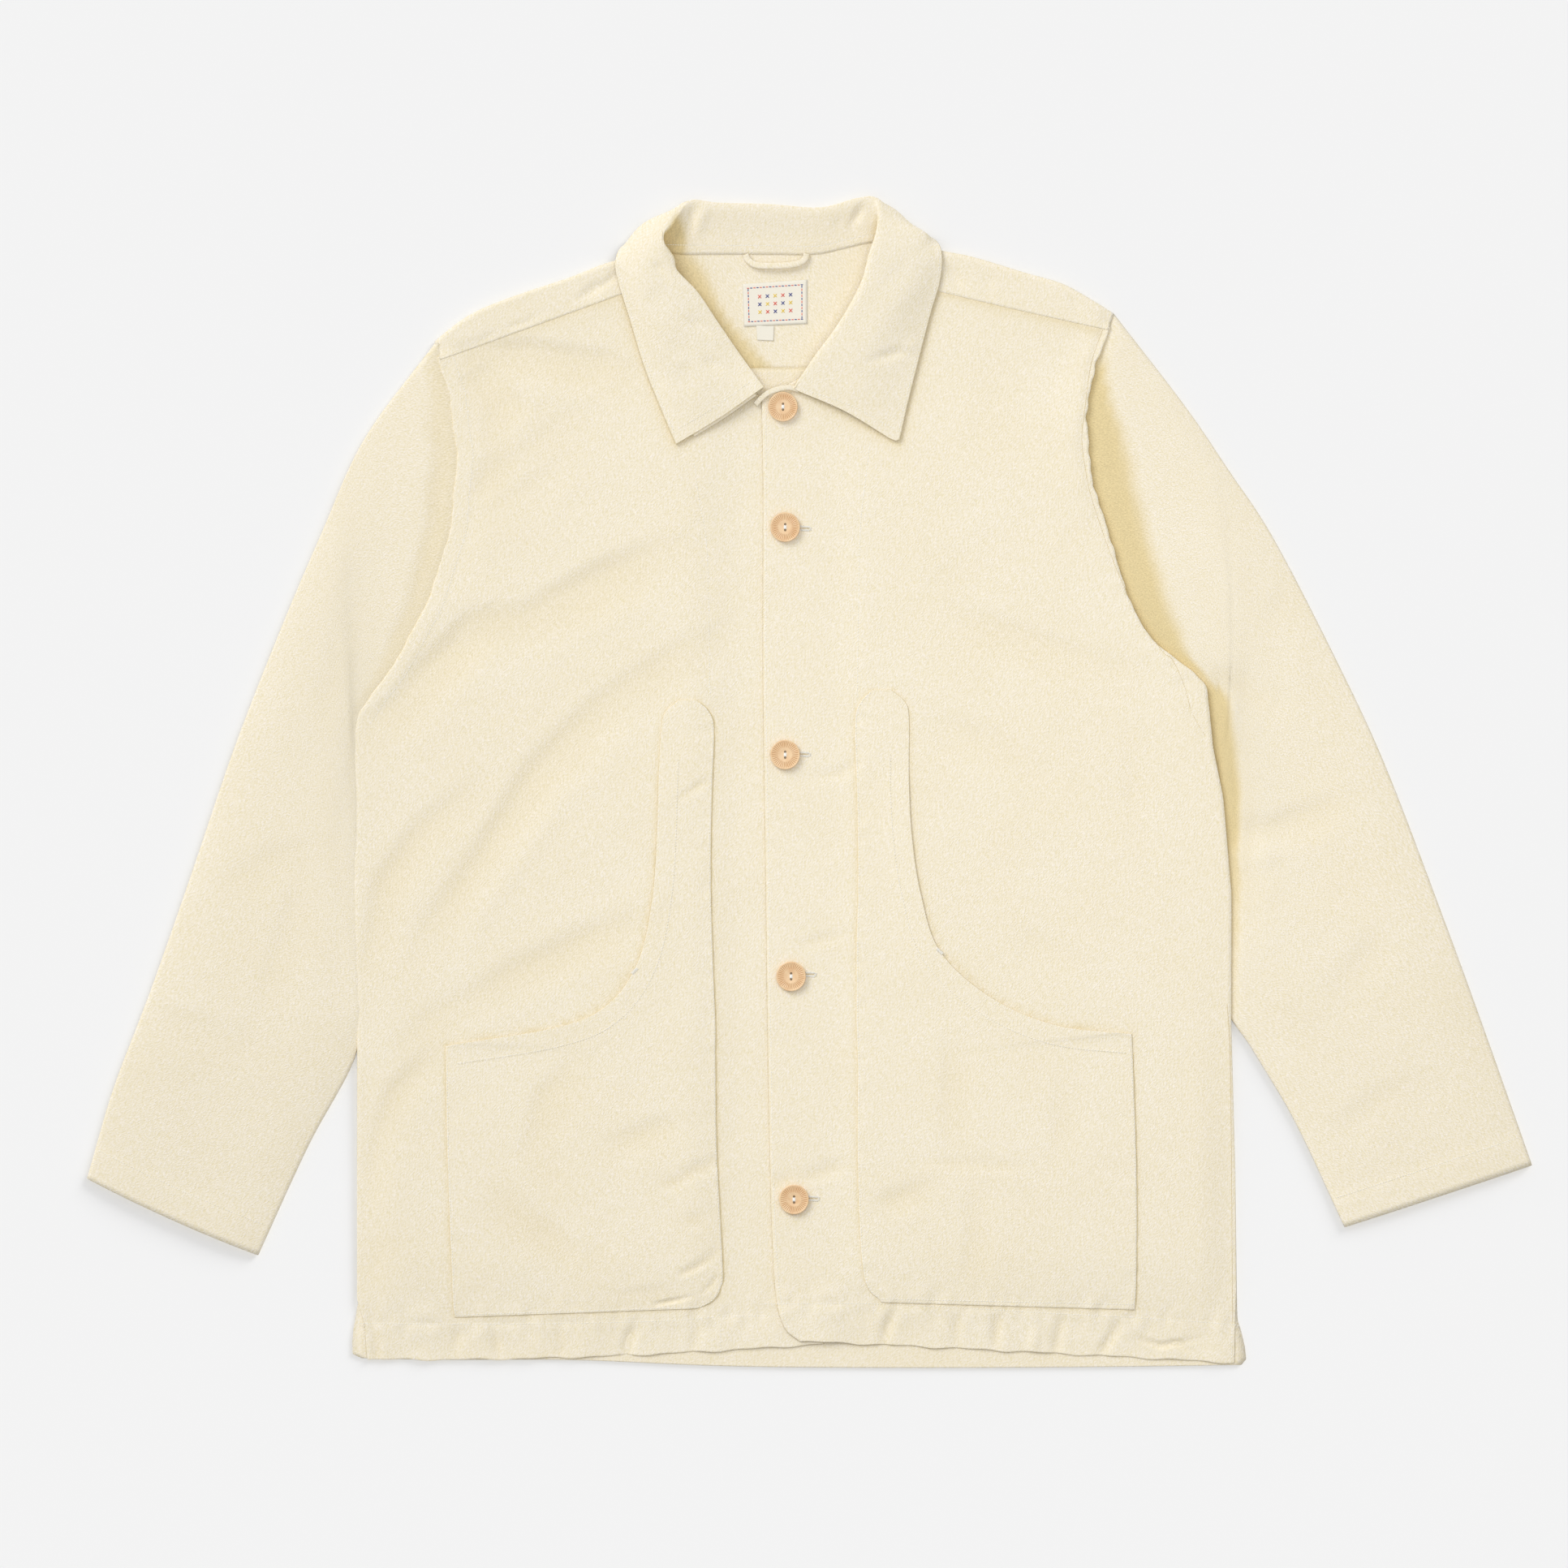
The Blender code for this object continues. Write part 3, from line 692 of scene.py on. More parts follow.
def strip_along(
    name: str, path: Sequence[Point], width: float, thick: float, material: Material,
) -> Object:
    """Build a narrow padded strip with an oval section along a smooth path.

    Args:
        name: the piece's name.
        path: points of its middle line, in millimetres.
        width: across the strip.
        thick: height of the strip.
        material: its finish.

    Returns:
        The object.
    """
    def place(round_way: Array, along: Array) -> Skin:
        middle = between(path, along)
        beyond, before = (between(path, np.clip(along + step, 0, 1)) for step in (0.01, -0.01))
        ahead = beyond - before
        side = np.column_stack([-ahead[:, 1], ahead[:, 0]])
        side /= np.linalg.norm(side, axis=1)[:, None]
        angle = 2 * np.pi * round_way
        out = np.sign(np.cos(angle)) * np.abs(np.cos(angle)) ** 0.6 * width / 2
        points = middle + np.column_stack([side * out[:, None], np.sin(angle) * thick / 2])
        cloth = np.column_stack([along * 48, round_way * 10])
        # A slight painted shade all along the strip.
        return Skin(points, cloth, np.full(len(points), 0.05))

    return cloth_piece(name, (14, 60), place, material, wall=0.4, closed=True)


class Finish:
    """A material. A subclass works out what its shader is fed."""

    name: str

    def build(self) -> Material:
        """Make the material."""
        made = bpy.data.materials.new(self.name)
        made.use_nodes = True
        graph = Graph(made.node_tree)
        graph.feed(made.node_tree.nodes["Principled BSDF"], self.inputs(graph))
        return made


@dataclass(frozen=True)
class CottonFinish(Finish):
    """Matt slub cotton, mixed towards a painted shade colour by the mesh's depth attribute."""

    name: str
    thin: Point = (0.836, 0.745, 0.505, 1)
    thick: Point = (0.976, 0.909, 0.820, 1)
    # The colour of painted shade in folds, troughs and along edges.
    deep: Point = (0.775, 0.635, 0.350, 1)
    pitch: float = 2.1
    slant: float = -0.88
    relief: float = 0.85

    def inputs(self, graph: Graph) -> dict:
        """Inputs of the shader."""
        cloth = graph.add("ShaderNodeUVMap", uv_map="cloth").outputs[0]
        inputs = {"Cloth": cloth, "Pitch": self.pitch, "Slant": self.slant}
        weave = graph.add("ShaderNodeGroup", inputs, node_tree=slub_weave()).outputs
        yarn = graph.blend(weave["Fine"], self.thin, self.thick)
        # Tone that varies at random: the broad noise darkens the yarn a little towards that colour.
        shaded = graph.blend(graph.span(weave["Broad"], (0.3, 0.7), (0.0, 0.10)), yarn, self.deep)
        # Painted shade: the depth attribute mixes in the painted shade colour, a little uneven with
        # the fine weave.
        depth = graph.add("ShaderNodeAttribute", attribute_name="depth").outputs["Fac"]
        dark, pale = (tuple(part * c for c in self.deep[:3]) + (1,) for part in (0.88, 1.12))
        height = {"Strength": self.relief, "Distance": 0.0005, "Height": weave["Height"]}
        return {
            "Base Color": graph.blend(depth, shaded, graph.blend(weave["Fine"], dark, pale)),
            "Normal": graph.add("ShaderNodeBump", height).outputs[0],
            "Roughness": 0.95, "Specular IOR Level": 0.15,
            "Sheen Weight": 0.06, "Sheen Roughness": 0.6,
        }


@dataclass(frozen=True)
class ThreadFinish(Finish):
    """Twisted sewing thread of one colour."""

    name: str
    colour: Point

    def inputs(self, graph: Graph) -> dict:
        """Inputs of the shader."""
        at = graph.add("ShaderNodeTexCoord").outputs["Object"]
        ply = graph.noise(at, 2500.0, Detail=1.0)
        dark = tuple(0.86 * c for c in self.colour[:3]) + (1,)
        return {"Base Color": graph.blend(ply, dark, self.colour), "Roughness": 0.8}


@dataclass(frozen=True)
class ButtonFinish(Finish):
    """Turned tan resin, a little streaked, with a soft gloss, and painted shade in its radial
    flutes.
    """

    name: str = "button_resin"
    pale: Point = (0.86, 0.62, 0.37, 1)
    dark: Point = (0.78, 0.50, 0.27, 1)
    painted_groove_shade: Point = (0.56, 0.30, 0.125, 1)
    flutes: int = 38
    ring: tuple[float, float] = (4.7, 9.0)

    def inputs(self, graph: Graph) -> dict:
        """Inputs of the shader."""
        at = graph.add("ShaderNodeTexCoord").outputs["Object"]
        streak = graph.noise(at, 160.0, Detail=3.0, Distortion=1.0)
        body = graph.blend(graph.span(streak, (0.35, 0.7)), self.pale, self.dark)
        turned = graph.add("ShaderNodeUVMap", uv_map="turned").outputs[0]
        across, along = graph.add("ShaderNodeSeparateXYZ", {0: turned}).outputs[:2]
        angle = graph.math("ARCTAN2", along, across)
        wave = graph.math("COSINE", graph.math("MULTIPLY", angle, float(self.flutes)))
        squares = [graph.math("POWER", part, 2.0) for part in (across, along)]
        out = graph.math("SQRT", graph.math("ADD", *squares))
        start, stop = self.ring
        inner = graph.span(out, (start - 0.3, start + 0.5))
        outer = graph.span(out, (stop - 0.5, stop + 0.2), (1.0, 0.0))
        in_ring = graph.math("MULTIPLY", inner, outer)
        # Painted shade in the deepest part of each flute.
        flute_shade_mask = graph.math("MULTIPLY", in_ring, graph.span(wave, (0.0, 0.9)))
        rub = graph.noise(at, 900.0, Detail=2.0)
        return {
            "Base Color": graph.blend(flute_shade_mask, body, self.painted_groove_shade),
            "Roughness": graph.span(rub, (0.3, 0.7), (0.26, 0.42)),
        }


@dataclass(frozen=True)
class TapeFinish(Finish):
    """Off-white woven tape of the label and the size tag."""

    name: str = "label_cloth"
    pale: Point = (0.91, 0.87, 0.76, 1)
    dark: Point = (0.84, 0.79, 0.67, 1)

    def inputs(self, graph: Graph) -> dict:
        """Inputs of the shader."""
        cloth = graph.add("ShaderNodeUVMap", uv_map="cloth").outputs[0]
        rib = graph.add("ShaderNodeTexWave", {"Vector": cloth, "Scale": 700.0, "Distortion": 0.4})
        rib.bands_direction = "Y"
        height = {"Strength": 0.3, "Distance": 0.0002, "Height": rib.outputs["Fac"]}
        return {
            "Base Color": graph.blend(rib.outputs["Fac"], self.dark, self.pale),
            "Normal": graph.add("ShaderNodeBump", height).outputs[0],
            "Roughness": 0.75,
        }


@dataclass(frozen=True)
class FloorFinish(Finish):
    """Plain pale studio floor."""

    name: str = "studio_floor"
    colour: Point = (0.90, 0.90, 0.90, 1)

    def inputs(self, graph: Graph) -> dict:
        """Inputs of the shader."""
        at = graph.add("ShaderNodeTexCoord").outputs["Object"]
        dim = tuple(0.995 * c for c in self.colour[:3]) + (1,)
        colour = graph.blend(graph.noise(at, 0.4), dim, self.colour)
        return {"Base Color": colour, "Roughness": 1.0, "Specular IOR Level": 0.0}


# ---- sewing ----
class Needlework:
    """Stitches that are joined into one piece."""

    def __init__(self, name: str, material: Material, length: float, radius: float) -> None:
        """Start with no stitches.

        Args:
            name: the piece's name.
            material: its thread.
            length: of one stitch, in millimetres.
            radius: of the thread, in millimetres.
        """
        self.name, self.material = name, material
        self.half = (length / 2, radius, radius * 0.8)
        self.middles: list[Array] = []
        self.turns: list[Array] = []

    def one(self, middle: Point | Array, way: Point | Array, size: float = 1.0) -> None:
        """Lay one stitch: its middle, its direction, and its length against the usual one."""
        ahead = np.asarray(way, float) / np.linalg.norm(way)
        side = np.cross((0, 0, 1), ahead)
        side /= max(np.linalg.norm(side), TINY)
        self.middles.append(np.asarray(middle, float))
        self.turns.append(np.stack([ahead * size, side, np.cross(ahead, side)]))

    def sew(self, path: Array, pitch: float = 2.0) -> None:
        """Lay a row of stitches along points in space, one each pitch millimetres."""
        gone = run_of(path)
        stops = np.arange(0, gone[-1], pitch)
        knots = np.stack([np.interp(stops, gone, path[:, axis]) for axis in range(3)], axis=1)
        for start, stop in zip(knots, knots[1:]):
            self.one((start + stop) / 2, stop - start)

    def build(self) -> Object:
        """Make the joined mesh from one stitch's mesh, repeated."""
        one = bmesh.new()
        bmesh.ops.create_uvsphere(one, u_segments=5, v_segments=4, radius=1.0)
        bmesh.ops.triangulate(one, faces=one.faces)
        shape = np.array([vert.co[:] for vert in one.verts]) * self.half
        corners = np.array([[vert.index for vert in face.verts] for face in one.faces])
        one.free()
        laid = [middle + shape @ turn for middle, turn in zip(self.middles, self.turns)]
        points = np.concatenate(laid) * MM
        faces = np.concatenate([corners + len(shape) * n for n in range(len(self.middles))])
        data = bpy.data.meshes.new(self.name)
        data.from_pydata(points.tolist(), [], faces.tolist())
        data.materials.append(self.material)
        data.shade_smooth()
        made = linked(self.name, data)
        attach(made, ROOT)
        LOG.info("%s: %d stitches", self.name, len(self.middles))
        return made


# ---- pattern tables ----
SLEEVE_RIGHT = (
    Rung((-254, 297), (-241, 173), (-306, 35), 4.6),
    Rung((-301, 233), (-300, 121), (-308, 8), 5.4),
    Rung((-331, 167), (-316, 70), (-306.5, -31), 6.0),
    Rung((-359, 101), (-332, 19), (-304.5, -64), 6.0),
    Rung((-389, 24), (-348, -39), (-303.5, -102), 6.0),
    Rung((-419, -64), (-363, -103), (-303, -143), 6.0),
    Rung((-446, -141), (-376, -164), (-307.5, -186), 6.0),
    Rung((-471, -207), (-405, -226), (-339, -246), 5.6),
    Rung((-489, -268), (-431, -296), (-373, -320), 5.0),
)
SLEEVE_LEFT = (
    Rung((208, 316), (191, 200), (271, 53), 3.8),
    Rung((255, 255), (272, 133), (276, 8), 4.4),
    Rung((285, 211), (288, 92), (277.5, -25), 6.0),
    Rung((314, 167), (299, 56), (279, -55), 6.2),
    Rung((354, 90), (319, 1), (281, -88), 6.0),
    Rung((390, 13), (339, -55), (282, -124), 6.0),
    Rung((432, -97), (360, -127), (288, -158), 6.0),
    Rung((460, -174), (394, -200), (328, -227), 5.6),
    Rung((490, -259), (427, -280), (363, -301), 5.0),
)
RING_HALF = 8


def armhole(hand: Hand, step: int) -> Point:
    """Point of a body panel on the armhole, beside the sleeve's own point."""
    first = (SLEEVE_RIGHT if hand is Hand.RIGHT else SLEEVE_LEFT)[0]
    part = np.array([(1 - math.cos(math.pi * step / RING_HALF)) / 2])
    x, y = bow(*first[:3], part)[0]
    return float(x) - hand.value * SEAM, float(y)


HOLE_RIGHT, HOLE_LEFT = ([armhole(hand, step) for step in range(RING_HALF)] for hand in Hand)
FRONT_RIGHT = (
    Row(HOLE_RIGHT[1], (-180, 313), (-104, 341), 4.4),
    Row(HOLE_RIGHT[2], (-166, 278), (-82, 297), 4.6),
    Row(HOLE_RIGHT[3], (-145, 247), (-50, 270), 4.6),
    Row(HOLE_RIGHT[4], (-118, 212), (3, 250), 4.6),
    Row(HOLE_RIGHT[5], (-124, 165), (3, 206), 5.0),
    Row(HOLE_RIGHT[6], (-138, 110), (3, 137), 5.4),
    Row(HOLE_RIGHT[7], (-147, 54), (3, 66), 5.8),
    Row((-307, -53), (-152, -47), (4, -42), 5.8),
    Row((-306, -157), (-151, -154), (5, -152), 5.4),
    Row((-306, -262), (-150, -262), (6, -262), 3.4),
    Row((-306, -350), (-149, -350), (9, -350), 2.9),
    Row((-301, -366), (-151, -366), (9.5, -363), 2.9),
    Row((-299, -390.5), (-155, -389), (10, -380), 2.9),
)
FRONT_LEFT = (
    Row(HOLE_LEFT[1], (140, 322), (60, 341), 4.6),
    Row(HOLE_LEFT[2], (116, 289), (38, 300), 5.4),
    Row(HOLE_LEFT[3], (91, 258), (-10, 272), 6.0),
    Row(HOLE_LEFT[4], (78, 224), (-32, 260), 6.0),
    Row(HOLE_LEFT[5], (88, 168), (-31, 206), 6.0),
    Row(HOLE_LEFT[6], (101, 114), (-31, 137), 6.0),
    Row(HOLE_LEFT[7], (117, 68), (-31, 72), 6.0),
    Row((277, -9), (123, -9), (-30, -11), 5.9),
    Row((284, -75), (127, -77), (-29, -80), 5.8),
    Row((286, -157), (130, -157), (-28, -160), 5.2),
    Row((289, -267), (132, -267), (-26, -270), 3.4),
    Row((289.5, -344), (134, -344), (-23, -341), 2.9),
    Row((288.6, -370), (136, -368), (-17, -368), 2.9),
    Row((288.2, -393), (139, -385), (-6, -378), 2.9),
)
FRONT_CORNERS = (3,)
LAST_ARMHOLE_ROW = 6

BACK = (
    Level((-245, 281.5), (-27, 279.5), (192.4, 284.5)),
    Level(HOLE_RIGHT[2], (-27, 262), (189, 267)),
    Level(HOLE_RIGHT[3], (-26, 232), HOLE_LEFT[3]),
    Level(HOLE_RIGHT[4], (-25, 186), HOLE_LEFT[4]),
    Level(HOLE_RIGHT[5], (-22, 135), HOLE_LEFT[5]),
    Level(HOLE_RIGHT[6], (-20, 90), HOLE_LEFT[6]),
    Level(HOLE_RIGHT[7], (-19, 54), HOLE_LEFT[7]),
    Level((-306, 2), (-15, 4), (274.5, 8)),
    Level((-303, -64), (-12, -60), (277.4, -55)),
    Level((-301.5, -143), (-10, -134), (280.5, -124)),
    Level((-306, -190), (-10, -178), (285.5, -165)),
    Level((-306, -262), (-9, -264), (289, -267)),
    Level((-305, -350), (-7, -350), (290, -350)),
    Level((-307, -362), (-7, -362), (290.5, -364)),
    Level((-308.4, -369), (-7, -370), (292.8, -371)),
    Level((-309.2, -379), (-7, -381), (295.4, -382)),
    Level((-309, -387), (-8, -391), (296.3, -390.5)),
    Level((-303, -389.8), (-9, -396), (293, -394.3)),
)

YOKE = (
    Column(-245, (-253.5, 299), 0),
    Column(-218, (-240, 310), 0.2),
    Column(-191, (-224, 320), 0.4),
    Column(-163, (-196, 331), 0.6),
    Column(-136, (-163, 342), 0.78),
    Column(-112, (-134, 353), 0.9),
    Column(-100, (-104, 359), 1),
    Column(-86, (-90, 361), None),
    Column(-66, (-70, 361), None),
    Column(-27, (-27, 361), None),
    Column(8, (10, 361), None),
    Column(24, (26, 365), None),
    Column(36, (42, 369), None),
    Column(50, (60, 368), 1),
    Column(73, (88, 361), 0.88),
    Column(101, (112, 356), 0.66),
    Column(134, (145, 346), 0.5),
    Column(161, (172, 338), 0.28),
    Column(180, (192, 327), 0.12),
    Column(192.7, (206.5, 318), 0),
)
YOKE_SEAM = ((-245, 282), (-27, 280), (193, 285))
NECK_FIRST, NECK_LAST = 6, 13

COLLAR = tuple(Section(*row) for row in (
    (Lying.FRONT, (-36, 263, 0.4), (-31, 267, 2.6), (-60, 247, 4.4), (-90, 229, 2.1), 4.6),
    (Lying.FRONT, (-57, 273, 0.4), (-46, 288, 3.4), (-76, 270, 6.4), (-101, 255, 2.1), 5.6),
    (Lying.FRONT, (-84, 291, 0.4), (-61, 310, 4.2), (-93, 294, 8.0), (-112, 283, 2.1), 7.0),
    (Lying.FRONT, (-99, 315, 0.4), (-75, 331, 5.2), (-107, 319, 9.0), (-121, 313, 2.3), 8.0),
    (Lying.FRONT, (-107, 336, 0.5), (-90, 348, 6.4), (-115, 341, 9.0), (-129, 339, 2.6), 8.5),
    (Lying.FLOOR, (-107, 352, 5.0), (-94, 363, 11.5), (-117, 357, 11.5), (-131, 353, 7.2), 9.0),
    (Lying.FLOOR, (-105, 358, 5.4), (-93, 376, 11.5), (-120, 368, 6.5), (-126, 364, 1.8), 9.0),
    (Lying.FLOOR, (-100, 360, 4.4), (-89, 386, 8.5), (-110, 380, 3.0), (-112, 368, 0.3), 7.0),
    (Lying.FLOOR, (-87, 358, 3.8), (-81, 394, 4.0), (-88, 381, 0.2), (-88, 365, 0.0), 5.4),
    (Lying.FLOOR, (-64, 358, 3.6), (-61, 392, 2.7), (-62, 377, 0.0), (-63, 364, 0.0), 4.8),
    (Lying.FLOOR, (-27, 358, 3.6), (-26, 391, 2.6), (-26, 377, 0.0), (-27, 364, 0.0), 4.6),
    (Lying.FLOOR, (4, 358, 3.6), (7, 389, 2.6), (5, 376, 0.0), (4, 364, 0.0), 4.6),
    (Lying.FLOOR, (24, 362, 3.6), (33, 395, 3.0), (31, 382, 0.0), (28, 370, 0.0), 5.0),
    (Lying.FLOOR, (43, 366, 3.8), (46, 396, 5.0), (55, 388, 1.2), (52, 374, 0.2), 6.0),
    (Lying.FLOOR, (58, 364, 5.0), (47, 385, 9.5), (69, 379, 3.6), (68, 374, 0.8), 8.0),
    (Lying.FLOOR, (64, 358, 5.4), (45, 371, 12.0), (77, 371, 8.0), (84, 369, 2.2), 9.0),
    (Lying.FLOOR, (66, 350, 5.0), (40, 356, 12.0), (70, 356, 12.0), (90, 359, 7.2), 9.0),
    (Lying.FRONT, (63, 338, 0.5), (35, 338, 6.4), (66, 337, 9.0), (89, 340, 2.6), 8.5),
    (Lying.FRONT, (50, 313, 0.4), (21, 312, 5.2), (54, 314, 9.0), (83, 319, 2.3), 8.0),
    (Lying.FRONT, (30, 291, 0.4), (5, 290, 4.2), (40, 288, 8.0), (75, 288, 2.1), 7.0),
    (Lying.FRONT, (9, 278, 0.4), (-5, 275, 3.4), (33, 267, 6.4), (67, 256, 2.1), 5.6),
    (Lying.FRONT, (-2, 271, 0.4), (-9, 268, 2.6), (25, 251, 4.4), (61, 229, 2.1), 4.6),
))

POCKET_LEFT = (
    Strip((43, 63), (56, 63)),
    Strip((35, 55), (65, 55)),
    Strip((31, 42), (68, 44)),
    Strip((32, 2), (68, 2)),
    Strip((33, -36), (70, -36)),
    Strip((33, -75), (76, -75)),
    Strip((32, -108), (89, -114)),
    Strip((32, -138), (123, -145)),
    Strip((32, -165), (167, -164)),
    Strip((33, -192), (219, -170)),
    Strip((33, -262), (222, -262)),
    Strip((37, -333), (222, -333)),
    Strip((49, -352), (221, -357)),
)
POCKET_RIGHT = (
    Strip((-76, 56), (-88, 56)),
    Strip((-68, 49), (-97, 48)),
    Strip((-64, 37), (-100, 37)),
    Strip((-65, 2), (-102, 2)),
    Strip((-66, -36), (-103, -36)),
    Strip((-66, -75), (-106, -77)),
    Strip((-65, -110), (-115, -119)),
    Strip((-64, -138), (-135, -149)),
    Strip((-63, -163), (-169, -165)),
    Strip((-63, -190), (-246, -178)),
    Strip((-62, -250), (-245, -250)),
    Strip((-58, -328), (-242, -328)),
    Strip((-59.5, -342), (-241.5, -344)),
    Strip((-64.5, -350.5), (-241, -354)),
    Strip((-75, -356), (-240, -362)),
)
POCKET_CORNERS = (9,)

CREASES_RIGHT = creased(
    (12, -1.3, (-99.8, 157), (-143.8, 138), (-190.6, 113), (-231.8, 104)),
    (10, -1.5, (-226, 112), (-242, 93), (-261.5, 72), (-277.5, 52.5), (-294, 40)),
    (9, 0.5, (-240.1, 131.7), (-268, 92), (-297, 52)),
    (11, -1.4, (-75.1, 96), (-141.1, 52), (-185.1, 8), (-218.1, -47), (-262.1, -107.5)),
    (12, 0.7, (-163.1, 2.5), (-196.1, -47), (-234.6, -102)),
    (9, -0.9, (-218.1, 2.5), (-262.1, -30.5), (-288.5, -69), (-296.2, -118.5)),
    (9, -0.8, (-108.1, -91), (-152.1, -104.8), (-212.6, -135), (-256.6, -159.8), (-275.8, -179)),
    (7, -0.8, (-253.8, -181.8), (-281.3, -209.3), (-292.3, -245), (-295.1, -283.5)),
    (10, -0.6, (-154.8, -190), (-178.5, -212), (-187.8, -250.5), (-168.6, -283.5)),
    (10, -0.6, (-212.6, -275.3), (-182.3, -301.1), (-154.8, -322)),
    (7, -0.6, (-141.1, -246.1), (-113.6, -236.8), (-88.8, -228.5)),
    (3.6, -0.9, (-104, -274), (-92, -271), (-78, -263), (-60, -256)),
    (3.2, -0.5, (-90, -300), (-76, -296), (-60, -292)),
    (3.2, -0.8, (-88, -333), (-76, -328), (-66, -321), (-60, -315)),
    (2.8, -0.6, (-104, -353), (-88, -350), (-79, -347.5)),
    (2.6, -0.4, (-72, -345.5), (-66, -340), (-61.5, -333)),
    (4, -0.4, (-88.8, -11.3), (-80.6, -5.8), (-68.5, 1.4)),
    (9, -0.4, (-223.6, 200.5), (-190.6, 222.5), (-154.8, 252.7)),
    (8, -0.3, (-218.1, 178.5), (-179.6, 206), (-141.1, 233.5)),
    (10, -1.2, (-238, 290), (-190.6, 292), (-140, 284.6), (-110, 272)),
    (9, -1.1, (-226, 282), (-206, 262), (-190, 248)),
    (8, -0.7, (-216, 250), (-214, 222), (-222, 190)),
    (7, -0.4, (-102.6, 280.2), (-86.1, 244.5), (-80.6, 211.5)),
    (4, -0.8, (-293, -371.5), (-292, -391.3)),
    (5, -0.7, (-212.6, -369.5), (-210, -390)),
    (5.4, -0.9, (-119, -367), (-124.5, -391)),
    (5, -0.5, (-238, -370), (-240, -388)),
    (5, -0.5, (-168.6, -370.3), (-167.5, -389)),
    (5, -0.5, (-74, -366), (-80, -388)),
    (6, -0.4, (-135.6, -349.5), (-97.1, -344)),
    (8, -0.4, (-289.6, -294.5), (-292.3, -327.5), (-289.6, -355)),
)
CREASES_LEFT = creased(
    (11, -0.6, (100.9, 115.2), (155.9, 93.2), (216.4, 74)),
    (10, -0.5, (84.4, 41), (128.4, 27.2), (172.4, -0.3)),
    (8, -0.4, (144.9, -102), (186.2, -122.9)),
    (8, -0.3, (216.4, 35.5), (221.9, -25)),
    (4, -0.5, (-6.3, 2.5), (21.2, 6.3), (34.9, 13.5)),
    (5, -0.7, (-6.3, -268.1), (23.9, -259.9)),
    (4, -0.6, (-28, -268), (-20, -270), (-8, -266)),
    (6, -0.6, (45.9, -284.6), (84.4, -271.4)),
    (8, -0.4, (96.5, -173.5), (95.4, -256)),
    (7, -0.4, (111.9, -272.5), (109.2, -338.5)),
    (8, -0.3, (172.4, -195.5), (169.7, -250.5)),
    (5, -0.3, (67.9, -256), (106.4, -258.2), (147.7, -259.9)),
    (5, -0.9, (56.9, -355.8), (48.7, -386.9)),
    (5, -0.5, (100.9, -359.5), (99.8, -383.8)),
    (5.4, -0.9, (128.5, -359), (126, -386)),
    (4.5, 0.6, (154.5, -361), (151.5, -386)),
    (5, -0.8, (171, -361), (167, -387)),
    (5.4, -0.8, (212, -364), (197, -388)),
    (3.6, -0.6, (222.7, -376), (238.2, -381.4), (262, -377)),
    (3.6, -0.6, (245, -377), (259, -386)),
    (4, -0.4, (-6.3, -110.3), (26.7, -102)),
    (12, 0.6, (183.4, 272), (172.4, 222.5), (183.4, 173)),
    (14, -0.2, (128.4, 294), (117.4, 222.5)),
    (12, -0.2, (133.9, 173), (100.9, 145.5), (73.4, 112.5)),
)
CREASES_SLEEVE_RIGHT = creased(
    (11, -1.2, (-246.7, 272), (-242.3, 222.5), (-246.7, 173), (-262.1, 112.5), (-284.1, 68.5)),
    (10, -0.5, (-339.1, -58), (-358.3, -118.5), (-377.6, -173.5)),
    (9, -0.4, (-449.1, -157), (-410.6, -163.6), (-372.1, -179)),
    (12, -0.4, (-306.1, 145.5), (-317.1, 90.5), (-328.1, 35.5)),
    (10, -0.4, (-405.1, -74.5), (-366.6, -52.5), (-328.1, -41.5)),
    (9, -0.3, (-317.1, 222.5), (-328.1, 167.5)),
)
CREASES_SLEEVE_LEFT = creased(
    (7, -1.2, (271.4, 74), (293.4, 65.7), (309.9, 52)),
    (7, 0.5, (276.9, 52), (298.9, 41)),
    (8, -1, (283.5, -33.3), (315.4, -29.4), (359.4, -11.3)),
    (8, 0.5, (287.9, -52.5), (320.9, -47)),
    (8, -1, (279.7, 46.5), (283.5, 2.5), (287.9, -47), (290.7, -102)),
    (9, -0.3, (331.9, 145.5), (309.9, 101.5)),
    (9, -0.4, (386.9, -102), (353.9, -146)),
    (8, -0.3, (315.4, -157), (353.9, -201)),
    (8, -0.4, (348.4, -239.5), (386.9, -212), (419.9, -201)),
)

CREASES_YOKE = creased(
    (4, -0.9, (-143, 340), (-150, 331), (-157, 327)),
    (3.5, -0.8, (-130, 345), (-146, 331), (-152, 322)),
    (5, -0.9, (-134, 351), (-128, 338)),
    (3, -0.5, (-182, 318), (-192, 311), (-204, 308)),
    (3, -0.4, (-212, 306), (-222, 298)),
    (5, -0.8, (92, 352), (99, 343), (104, 334)),
    (5, -0.4, (120, 345), (124, 330)),
    (5, -0.3, (176, 330), (186, 315)),
)
CREASES_LEAVES = creased(
    (4, -1.2, (-104, 351), (-98, 345), (-95, 340)),
    (5, -1.2, (-80, 314), (-70, 307), (-60, 303)),
    (5, -0.9, (-70, 286), (-58, 279)),
    (8, -0.6, (-104, 286), (-92, 276), (-80, 262)),
    (5, 1.0, (60, 291), (78, 297)),
    (4.5, -0.9, (40, 285), (60, 291), (74, 294)),
    (7, -0.5, (-96, 300), (-84, 286), (-78, 270)),
    (7, -0.4, (20, 300), (32, 322), (40, 345)),
    (6, -0.4, (45, 330), (60, 345), (70, 356)),
    (6, -0.4, (-110, 322), (-98, 334)),
)
CREASES_STAND = creased(
    (5, -2.2, (-84, 362), (-81, 374), (-78, 388)),
    (5, 1.6, (-76, 360), (-74, 376), (-70, 388)),
    (5, -1.1, (-68, 364), (-64, 378)),
    (5, -2.1, (30, 368), (30, 378), (36, 390)),
    (5, 1.5, (38, 366), (40, 380)),
    (5, -0.5, (18, 372), (22, 382)),
)
